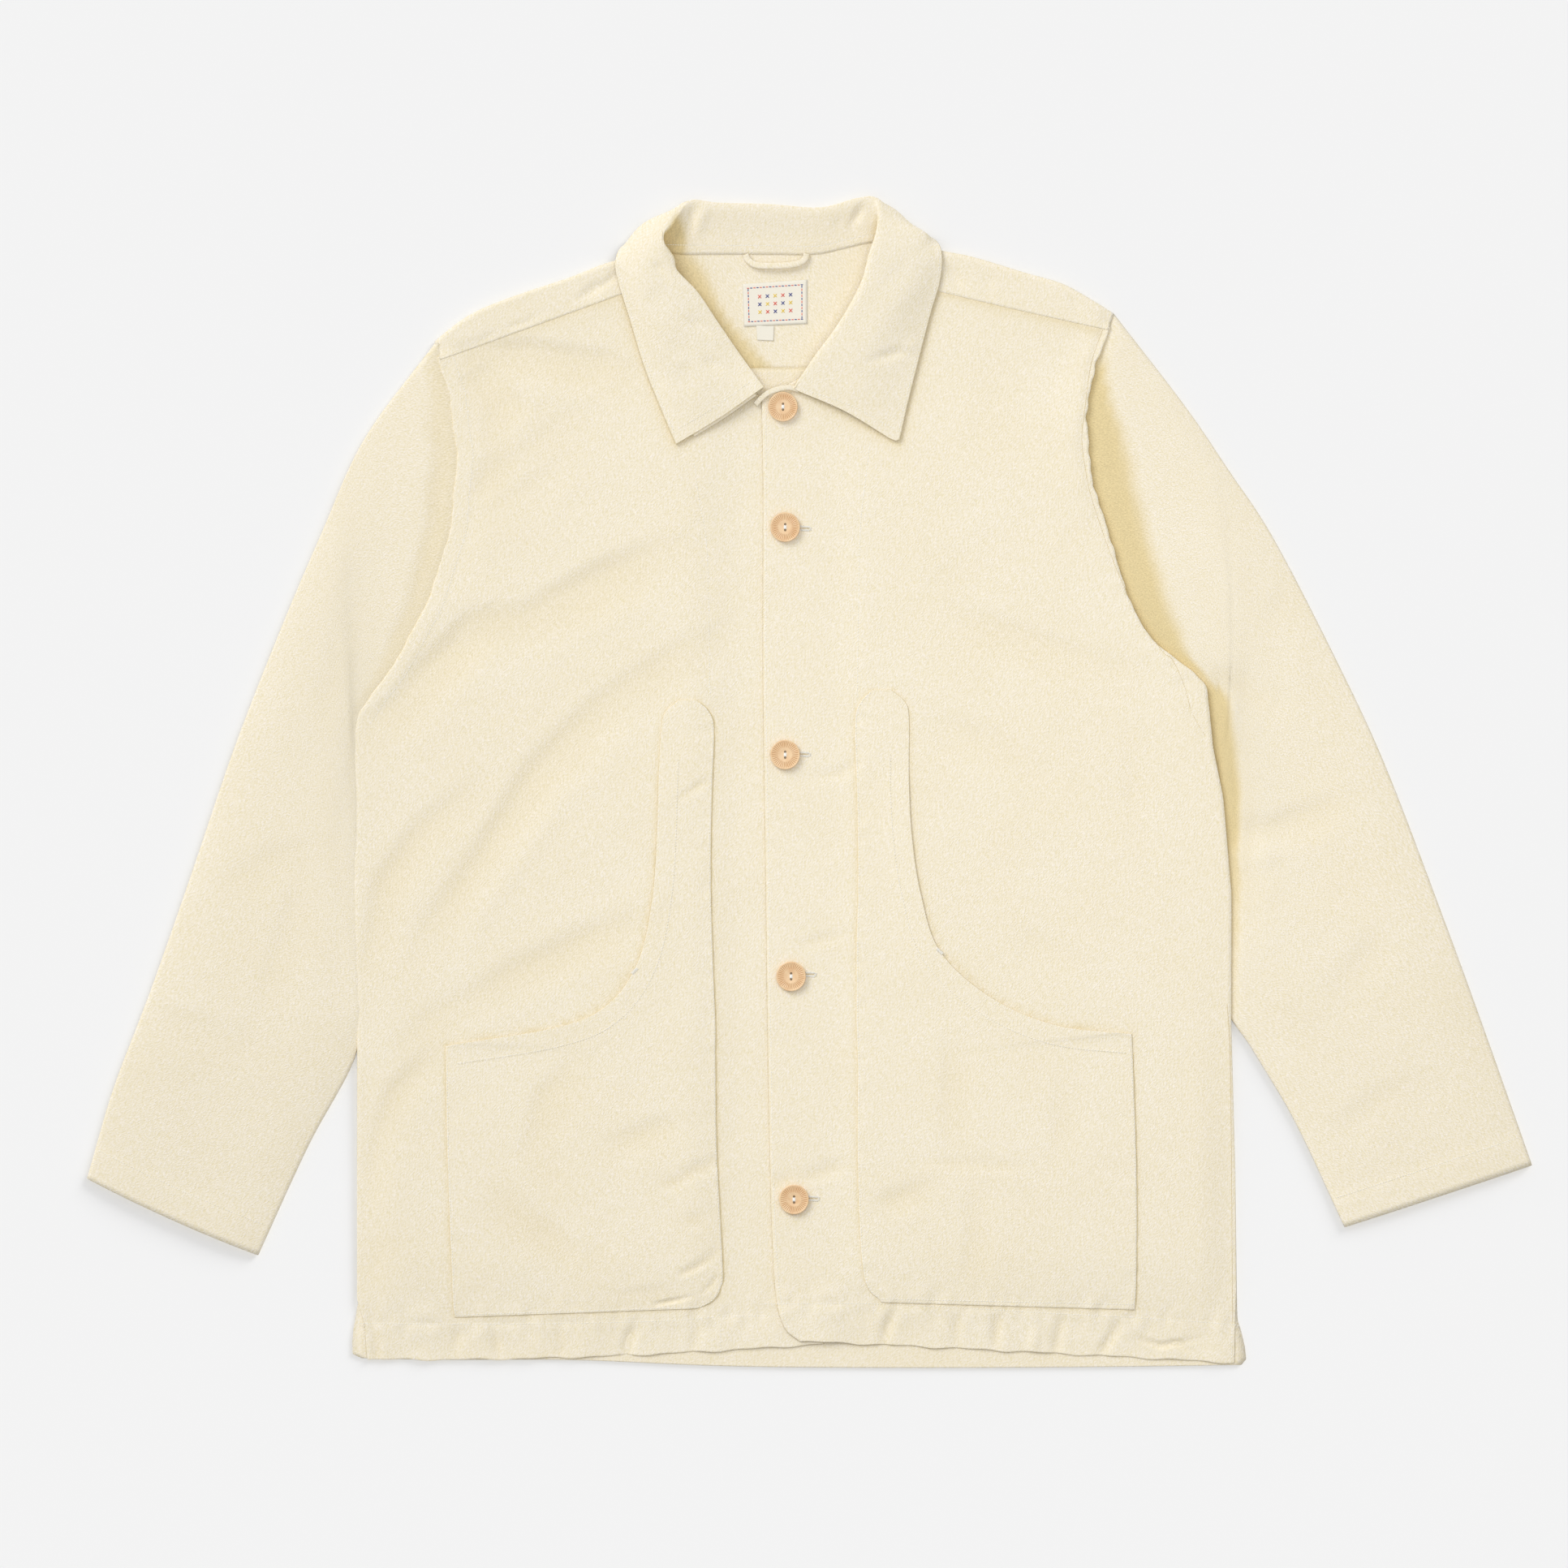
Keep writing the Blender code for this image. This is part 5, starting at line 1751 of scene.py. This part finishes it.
@dataclass
class Tape(ClothPiece):
    """A small flat woven piece: the neck label or the size tag."""

    node: str
    corners: tuple[Point, Point, Point, Point]
    base: float = 1.35
    curl: float = 0.15
    steps: tuple[int, int] = (22, 16)
    wall: float = 0.35
    slot: str = "label_cloth"

    def at(self, across: Array, along: Array) -> Array:
        """Points of the top."""
        corners = np.array(self.corners, float)
        upper = mix(corners[0], corners[1], across[:, None])
        lower = mix(corners[3], corners[2], across[:, None])
        plan = mix(upper, lower, along[:, None])
        lifted = self.curl * (np.abs(2 * across - 1) ** 4 * 0.5 + np.abs(2 * along - 1) ** 6 * 0.4)
        return on_top(plan, self.base + lifted)

    def place(self, across: Array, along: Array) -> Skin:
        """Skin of the patch."""
        points = self.at(across, along)
        return Skin(points, points[:, :2], np.zeros(len(points)))


@dataclass
class LabelMarks:
    """Plain woven marks on the neck label: a dashed frame and rows of small crosses."""

    label: Tape
    colours: tuple[tuple[str, Point], ...] = (
        ("coral", (0.82, 0.16, 0.12, 1)), ("navy", (0.05, 0.07, 0.30, 1)),
        ("yellow", (0.90, 0.66, 0.10, 1)),
    )
    inset: float = 0.085
    dashes: tuple[int, int] = (18, 11)
    rows: Point = (0.32, 0.5, 0.68)
    columns: int = 5
    cross: Point = (0.018, 0.028)

    def build(self) -> list[Object]:
        """Make one piece for each thread colour."""
        names = [name for name, _ in self.colours]
        work = {}
        for name, colour in self.colours:
            thread = ThreadFinish(f"thread_{name}", colour).build()
            work[name] = Needlework(f"label_{name}", thread, 2.0, 0.36)
        marks: list[tuple[float, float, float, str]] = []
        across, down = self.dashes
        for number in range(across):
            part = mix(self.inset, 1 - self.inset, number / (across - 1))
            for edge in (self.inset * 1.3, 1 - self.inset * 1.3):
                marks.append((part, edge, 0.0, names[number % 2]))
        for number in range(down):
            part = mix(self.inset * 1.8, 1 - self.inset * 1.8, number / (down - 1))
            for edge in (self.inset, 1 - self.inset):
                marks.append((edge, part, math.pi / 2, names[(number + 1) % 2]))
        for row, height in enumerate(self.rows):
            for column in range(self.columns):
                middle = mix(0.26, 0.74, column / (self.columns - 1))
                name = names[(row + column) % 3]
                for quarter in range(4):
                    angle = math.pi / 4 + quarter * math.pi / 2
                    x = middle + self.cross[0] * math.cos(angle)
                    y = height + self.cross[1] * math.sin(angle)
                    marks.append((x, y, angle + math.pi / 2, name))
        for across, along, angle, name in marks:
            middle = self.label.at(np.array([across]), np.array([along]))[0] + (0, 0, 0.05)
            work[name].one(middle, (math.cos(angle), math.sin(angle), 0))
        return [piece.build() for piece in work.values()]


@dataclass
class Button:
    """A turned button with a smooth middle, a fluted ring, a thin rim and two holes."""

    number: int
    centre: Point
    floor: float = OVER_LAP_TOP + 0.75
    flutes: int = 38
    flute_depth: float = 0.38
    ring_start: float = 4.5
    ring_width: float = 4.8
    ring_floor: float = 1.9
    hole: float = 0.85
    hole_offset: float = 2.0
    turn: int = 152
    profile: Line = (
        (0, 1.75), (2.2, 1.75), (3.6, 1.85), (4.3, 2.05), (4.9, 2.1), (6.0, 2.2), (7.2, 2.32),
        (8.3, 2.42), (9.1, 2.42), (9.4, 2.6), (9.8, 2.5), (10.0, 2.1), (9.9, 1.6), (9.2, 0.7),
        (7.5, 0.1), (6, 0), (0, 0),
    )

    def solid(self) -> Mesh:
        """The turned body with its flutes."""
        mesh = bmesh.new()
        corners = [mesh.verts.new((r, 0, z)) for r, z in self.profile]
        lines = [mesh.edges.new(pair) for pair in zip(corners, corners[1:])]
        bmesh.ops.spin(
            mesh, geom=corners + lines, cent=(0, 0, 0), axis=(0, 0, 1), dvec=(0, 0, 0),
            angle=2 * math.pi, steps=self.turn, use_merge=True,
        )
        bmesh.ops.remove_doubles(mesh, verts=mesh.verts, dist=TINY)
        turned = mesh.loops.layers.uv.new("turned")
        for face in mesh.faces:
            for loop in face.loops:
                loop[turned].uv = loop.vert.co.xy
        for vert in mesh.verts:
            into = math.hypot(vert.co.x, vert.co.y) - self.ring_start
            if vert.co.z > self.ring_floor and 0.1 < into < self.ring_width - 0.1:
                ring = math.sin(math.pi * into / self.ring_width)
                wave = 0.5 + 0.5 * math.cos(self.flutes * math.atan2(vert.co.y, vert.co.x))
                vert.co.z -= self.flute_depth * ring * wave
        bmesh.ops.recalc_face_normals(mesh, faces=mesh.faces)
        return mesh

    def pins(self) -> Mesh:
        """The two cutters of the thread holes."""
        mesh = bmesh.new()
        for side in (-1, 1):
            pin = bmesh.ops.create_cone(
                mesh, cap_ends=True, segments=20, radius1=self.hole, radius2=self.hole, depth=8.0
            )
            bmesh.ops.translate(mesh, verts=pin["verts"], vec=(0, side * self.hole_offset, 1.5))
        return mesh

    def build(self, material: Material) -> Object:
        """Make the button, with its holes cut."""
        body, cutter = self.solid(), self.pins()
        for mesh in (body, cutter):
            bmesh.ops.translate(mesh, verts=mesh.verts, vec=(*self.centre, self.floor))
            bmesh.ops.scale(mesh, verts=mesh.verts, vec=(MM, MM, MM))
        raw = object_of(body, f"raw_{self.number}", material)
        pins = object_of(cutter, f"pins_{self.number}", material)
        holes = raw.modifiers.new("holes", "BOOLEAN")
        holes.operation, holes.solver, holes.object = "DIFFERENCE", "EXACT", pins
        graph = bpy.context.evaluated_depsgraph_get()
        data = bpy.data.meshes.new_from_object(raw.evaluated_get(graph))
        for scrap in (raw, pins):
            bpy.data.objects.remove(scrap, do_unlink=True)
        data.shade_smooth()
        data.set_sharp_from_angle(angle=math.radians(50))
        node = f"button_{self.number}"
        return dressed(linked(node + "_turned", data), node)

    def thread(self, work: Needlework) -> None:
        """The white thread between the two holes."""
        x, y = self.centre
        for shift in (-0.75, -0.38, 0.0, 0.38, 0.75):
            height = self.floor + 1.95 - abs(shift) * 0.25
            work.one((x + shift, y, height), (0, 1, 0), 2.0)


@dataclass
class ButtonHole:
    """A worked button hole: a slit with close stitches on both sides."""

    front: Front
    slit: tuple[Point, Point]
    bead: float = 1.5
    pitch: float = 0.42
    rise: float = 0.3

    def sew(self, work: Needlework, dark: Needlework) -> None:
        """Lay the close stitches, and the slit as a dark line of painted shade."""
        start, stop = (np.array(end, float) for end in self.slit)
        way = (stop - start) / np.linalg.norm(stop - start)
        side = np.array([-way[1], way[0]])
        count = int(np.linalg.norm(stop - start) / self.pitch)
        for number in range(count + 1):
            middle = start + way * number * self.pitch
            for sign in (-1, 1):
                plan = middle + side * sign * (0.45 + self.bead / 2)
                height = self.front.top(plan[None])[0] + self.rise
                lean = 0.15 * math.sin(number * 2.3 + sign)
                work.one((*plan, height), (side[0] + lean, side[1], 0), 1.0)
        for end, sign in ((start, -1), (stop, 1)):
            for shift in (-1.0, -0.5, 0.0, 0.5, 1.0):
                plan = end + way * sign * 0.5 + side * shift
                height = self.front.top(plan[None])[0] + self.rise
                work.one((*plan, height), (*way, 0), 0.9)
        line = np.linspace(start, stop, 5)
        path = on_top(line, self.front.top(line) + 0.16)
        dark.sew(path, pitch=1.2)


# ---- studio ----
@dataclass
class Studio:
    """Floor, soft light and the camera straight above."""

    centre: Point = (-0.0168, -0.0008, 0.0)
    view_width: float = 1.0626
    height: float = 5.0
    floor_size: float = 12.0
    ambient: float = 0.52
    key_power: float = 1.6
    top_power: float = 3.55
    low_power: float = 1.15
    fill_power: float = 1.02

    def lamp(
        self, name: str, kind: str, place: Point, size: float, power: float,
    ) -> Object:
        """Add a soft light that faces the middle of the scene.

        Args:
            name: the light's name.
            kind: AREA or SUN.
            place: where it is, in metres.
            size: side of the panel in metres, or the sun's angle in radians.
            power: watts, or for a sun watts for each square metre.

        Returns:
            The light.
        """
        data = bpy.data.lights.new(name, kind)
        data.energy = power
        if kind == "SUN":
            data.angle = size
        else:
            data.size = size
        lamp = linked(name, data)
        lamp.location = place
        way = Vector(self.centre) - Vector(place)
        lamp.rotation_euler = way.to_track_quat("-Z", "Y").to_euler()
        return lamp

    def light_for(self, lamp: Object, things: Objects) -> None:
        """Let a light reach only these things."""
        group = bpy.data.collections.new(lamp.name + "_on")
        for thing in things:
            group.objects.link(thing)
        lamp.light_linking.receiver_collection = group

    def build(self, garment: Objects) -> None:
        """Set the stage."""
        scene = bpy.context.scene
        mesh = bmesh.new()
        bmesh.ops.create_grid(mesh, x_segments=1, y_segments=1, size=self.floor_size / 2)
        bmesh.ops.translate(mesh, verts=mesh.verts, vec=(0, 0, -0.0003))
        floor = object_of(mesh, "studio_floor", FloorFinish().build())
        key = self.lamp("key", "SUN", (-2.0, 2.2, 2.2), 0.6, self.key_power)
        top = self.lamp("top", "AREA", (0.12, 0.15, 1.15), 0.8, self.top_power)
        for light in (key, top):
            self.light_for(light, garment)
        low = self.lamp("floor_low", "SUN", (2.0, 2.0, 1.35), 0.5, self.low_power)
        fill = self.lamp("floor_fill", "SUN", (*self.centre[:2], 3.0), 0.02, self.fill_power)
        for light in (low, fill):
            self.light_for(light, [floor])
        world = bpy.data.worlds.new("studio")
        world.use_nodes = True
        sky = world.node_tree.nodes["Background"]
        Graph(world.node_tree).feed(sky, {"Color": (1, 1, 1, 1), "Strength": self.ambient})
        scene.world = world
        data = bpy.data.cameras.new("camera")
        data.sensor_width = 36.0
        data.lens = data.sensor_width * self.height / self.view_width
        camera = linked("camera", data)
        camera.location = (*self.centre[:2], self.height)
        scene.camera = camera
        scene.view_settings.view_transform = "Standard"
        scene.view_settings.look = "None"


# ---- the jacket ----
@dataclass
class Jacket:
    """All pieces of the jacket, built in the order in which they lie on each other."""

    hem_right: Line = (
        (-306, -366), (-240, -366.6), (-163, -366), (-97, -364.4), (-60, -361.6), (-28, -361.1),
        (12, -361),
    )
    hem_left: Line = (
        (-32, -352.8), (-19, -352.8), (43.2, -352.8), (111.9, -356.1), (166.9, -359.4),
        (221.9, -362.2), (276.9, -366), (293, -367.7),
    )
    facing_right: Line = ((-77.8, 217), (-74, 189.5), (-70.7, 173), (-68.5, 145.5), (-66.8, 57.5))
    facing_left: Line = ((41.5, 230.7), (37.7, 200.5), (34.9, 173), (33.8, 134.5), (32.7, 56.4))
    armhole_seam: Line = (
        (199, 307), (193.5, 292), (190, 278), (187, 255), (184.8, 236), (186, 220), (191, 194),
        (204.9, 153), (216.4, 126.8), (229.6, 103.7), (240, 88), (246, 83.5), (254, 66),
        (259.3, 47.6), (268.7, 31),
    )
    # Lines beside the collar's leaves and under the yoke's front edges, where the fronts get painted
    # shade.
    leaf_right: Line = ((-131, 340), (-121, 313), (-101, 255), (-90, 229), (-60, 247), (-33, 266))
    leaf_left: Line = ((91, 340), (83, 319), (75, 288), (61, 229), (25, 249), (-8, 267))
    under_yoke: tuple[Line, ...] = (
        ((-250, 291), (-215, 302), (-180, 312), (-104, 339)), ((196, 306), (140, 320), (60, 339)),
    )
    placket: Line = (
        (-29, 257), (-29, 206), (-29, 137), (-29, 72), (-28, -11), (-27, -80), (-26, -160),
        (-24, -270), (-20, -341), (-14, -368), (-3, -375),
    )
    side_seam: Line = ((283.2, -150), (285.2, -184.5), (286.3, -267), (286.8, -346), (287, -368))
    button_centres: Line = ((-17.5, 254.5), (-16, 173), (-16, 19), (-12, -131), (-10, -282))
    hole_lefts: Line = ((-6, 172.4), (-6.3, 19.5), (-2.5, -129.5), (-0.3, -281.3))
    band_end: Line = (
        (-36, 256, 5.4), (-33, 259.5, 6.4), (-28, 263.6, 7.2), (-21, 266.4, 7.6),
        (-13.5, 267.6, 7.6), (-7, 266, 7.0),
    )
    hole_length: float = 6.6
    tacks: Line = ((88.8, -114.1), (-118, -127.3))
    facing_ends: Line = (
        (-59.7, -366, -386), (43.7, -354, -379), (286.4, -368, -391), (-301, -367, -388),
    )

    def fronts(self) -> tuple[Front, Front]:
        """The two fronts with their creases and seams."""
        right = Front(
            "front_right", Hand.RIGHT, FRONT_RIGHT, CREASES_RIGHT,
            (Sewn(self.hem_right, 0.12, 1.0, 13.0), Sewn(self.facing_right, 0.08, 0.2, 6.0)),
            (120, 280), self.hem_right, LAPS_RIGHT, (self.leaf_right, self.under_yoke[0]),
            POCKET_RIGHT, edge_painted_shade=0.08, felled=0.4,
        )
        left = Front(
            "front_left", Hand.LEFT, FRONT_LEFT, CREASES_LEFT,
            (
                Sewn(self.hem_left, 0.12, 1.0, 13.0), Sewn(self.facing_left, 0.08, 0.2, 6.0),
                Sewn(self.placket, 0.08, 0.28, 8.0), Sewn(self.armhole_seam, 0.35, 0.35, 7.0),
            ),
            (124, 284), self.hem_left, LAPS_LEFT, (self.leaf_left, self.under_yoke[1]),
            POCKET_LEFT, edge_painted_shade=0.2, ridge=0.8, waviness=0.5, roll=0.4,
        )
        return right, left

    def sleeves(self, fronts: tuple[Front, Front]) -> tuple[Sleeve, Sleeve]:
        """The two sleeves beside their fronts."""
        right, left = fronts
        return (
            Sleeve(
                "sleeve_right", Hand.RIGHT, SLEEVE_RIGHT, CREASES_SLEEVE_RIGHT, right,
                SHADE_RIGHT, sink=0.6, strength=0.3, dip=0.5, meets=1.0,
            ),
            Sleeve(
                "sleeve_left", Hand.LEFT, SLEEVE_LEFT, CREASES_SLEEVE_LEFT, left,
                SHADE_LEFT, sink=1.5, strength=1.0, dip=1.0,
            ),
        )

    def sew_body(
        self, thread: Material, fronts: tuple[Front, Front],
        sleeves: tuple[Sleeve, Sleeve], pockets: tuple[Pocket, Pocket],
    ) -> Needlework:
        """Stitches of the hems, facings, lap, armhole, cuffs and pockets."""
        right, left = fronts
        work = Needlework("body_sewing", thread, 1.55, 0.22)
        for line in (self.hem_right, self.facing_right):
            work.sew(right.line(line))
        for line in (self.hem_left, self.facing_left, self.placket):
            work.sew(left.line(line))
        for x, top, low in self.facing_ends:
            work.sew(fronts[x > 0].line(((x, top), (x, low))))
        armhole = right.armhole_line(11.0)
        work.sew(on_top(armhole, right.top(armhole) + 0.05))
        for sleeve in sleeves:
            work.sew(sleeve.cuff_line())
        for pocket in pockets:
            work.sew(pocket.edge_path(1.1, 0.1))
            work.sew(pocket.opening_path(13.0))
        return work

    def sew_collar(self, thread: Material, collar: Collar) -> Needlework:
        """Stitches beside the collar's free edges and along the foot of its stand."""
        work = Needlework("collar_sewing", thread, 1.5, 0.22)
        for half in np.split(collar.edge_path(2.2, 0.08), 2):
            work.sew(half)
        for position in (0.014, 0.986):
            work.sew(collar.end_path(position, 0.08))
        work.sew(collar.neck_path(0.35), 1.7)
        return work

    def sew_details(
        self, thread: Material, left: Front, pockets: tuple[Pocket, Pocket],
    ) -> list[Needlework]:
        """Button holes and tacks, and painted shadow lines along seams and pocket edges."""
        holes = Needlework("buttonhole_sewing", thread, 1.7, 0.2)
        # A dark thread laid along seams and in the button hole slits as painted shade.
        shadow = ThreadFinish("seam_shadow_thread", (0.68, 0.54, 0.29, 1)).build()
        seam_shade_work = Needlework("seam_shadow_lines", shadow, 1.5, 0.2)
        for x, y in self.hole_lefts:
            ButtonHole(left, ((x, y), (x + self.hole_length, y - 0.3))).sew(holes, seam_shade_work)
        for seam in (self.armhole_seam, self.side_seam):
            seam_shade_work.sew(left.line(seam, 0.0), 1.3)
        # A golden thread laid at the foot of the pockets' edges as painted shade.
        light = ThreadFinish("pocket_shadow_thread", (0.92, 0.79, 0.47, 1)).build()
        pocket_shade_work = Needlework("pocket_shadow_lines", light, 1.5, 0.2)
        for pocket, part in zip(pockets, (slice(210), slice(150, None))):
            pocket_shade_work.sew(pocket.edge_path(-0.25, -0.35)[part], 1.3)
        for x, y in self.tacks:
            pocket = pockets[x > 0]
            way = np.array((math.copysign(0.72, x), -0.69))
            for number in range(12):
                plan = np.array([[x, y]]) + way * (number - 6) * 0.45
                height = pocket.front.top(plan)[0] + pocket.lie + pocket.gape
                holes.one((*plan[0], height + 0.3), (-way[1], way[0], 0), 1.6)
        return [holes, seam_shade_work, pocket_shade_work]

    def build(self) -> list[Object]:
        """Make and dress every piece.

        Returns:
            All pieces of the garment.
        """
        cotton = CottonFinish("cotton").build()
        inside = CottonFinish("cotton_inside", slant=0.72).build()
        white = ThreadFinish("thread_white", (0.98, 0.97, 0.92, 1)).build()
        resin, tape = ButtonFinish().build(), TapeFinish().build()

        right, left = fronts = self.fronts()
        sleeves = self.sleeves(fronts)
        pockets = tuple(
            Pocket(front, "pocket_" + front.hand.name.lower(), front.pocket) for front in fronts
        )
        collar = Collar(fronts)
        back = Back().build(inside)
        shapes = (Yoke(fronts), *sleeves, *fronts, *pockets, collar, HangerLoop())
        cloth = [shape.build(cotton) for shape in shapes]
        label = Tape("neck_label", ((-45, 338), (-1, 341), (-1, 311), (-44, 309)))
        tag = Tape(
            "size_tag", ((-35.5, 309.5), (-23.5, 309.5), (-24, 299.5), (-35, 300)), base=1.5
        )
        labels = [label.build(tape), tag.build(tape), *LabelMarks(label).build()]
        under_line = collar.end_path(0.0, -1.5)[2:44:5] + (0.2, -0.3, 0.0)
        second_layers = [
            strip_along("neck_band_end", self.band_end, 3.6, 0.9, cotton),
            strip_along("collar_under_layer", under_line, 2.6, 0.8, cotton),
        ]
        for piece in second_layers:
            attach(piece, ROOT)
        buttons = [Button(n, centre) for n, centre in enumerate(self.button_centres, start=1)]
        turned = [button.build(resin) for button in buttons]

        threads = Needlework("button_thread", white, 1.7, 0.27)
        for button in buttons:
            button.thread(threads)
        body_sewing = self.sew_body(white, fronts, sleeves, pockets).build()
        collar_sewing = self.sew_collar(white, collar).build()
        details = [work.build() for work in self.sew_details(white, left, pockets)]
        sewing = [body_sewing, collar_sewing, *details, threads.build()]
        return [back, *cloth, *labels, *second_layers, *turned, *sewing]


def main() -> None:
    """Build the jacket, then the stage."""
    logging.basicConfig(level=logging.INFO, format="%(name)s: %(message)s")
    garment = Jacket().build()
    Studio().build(garment)


if __name__ == "__main__":
    main()
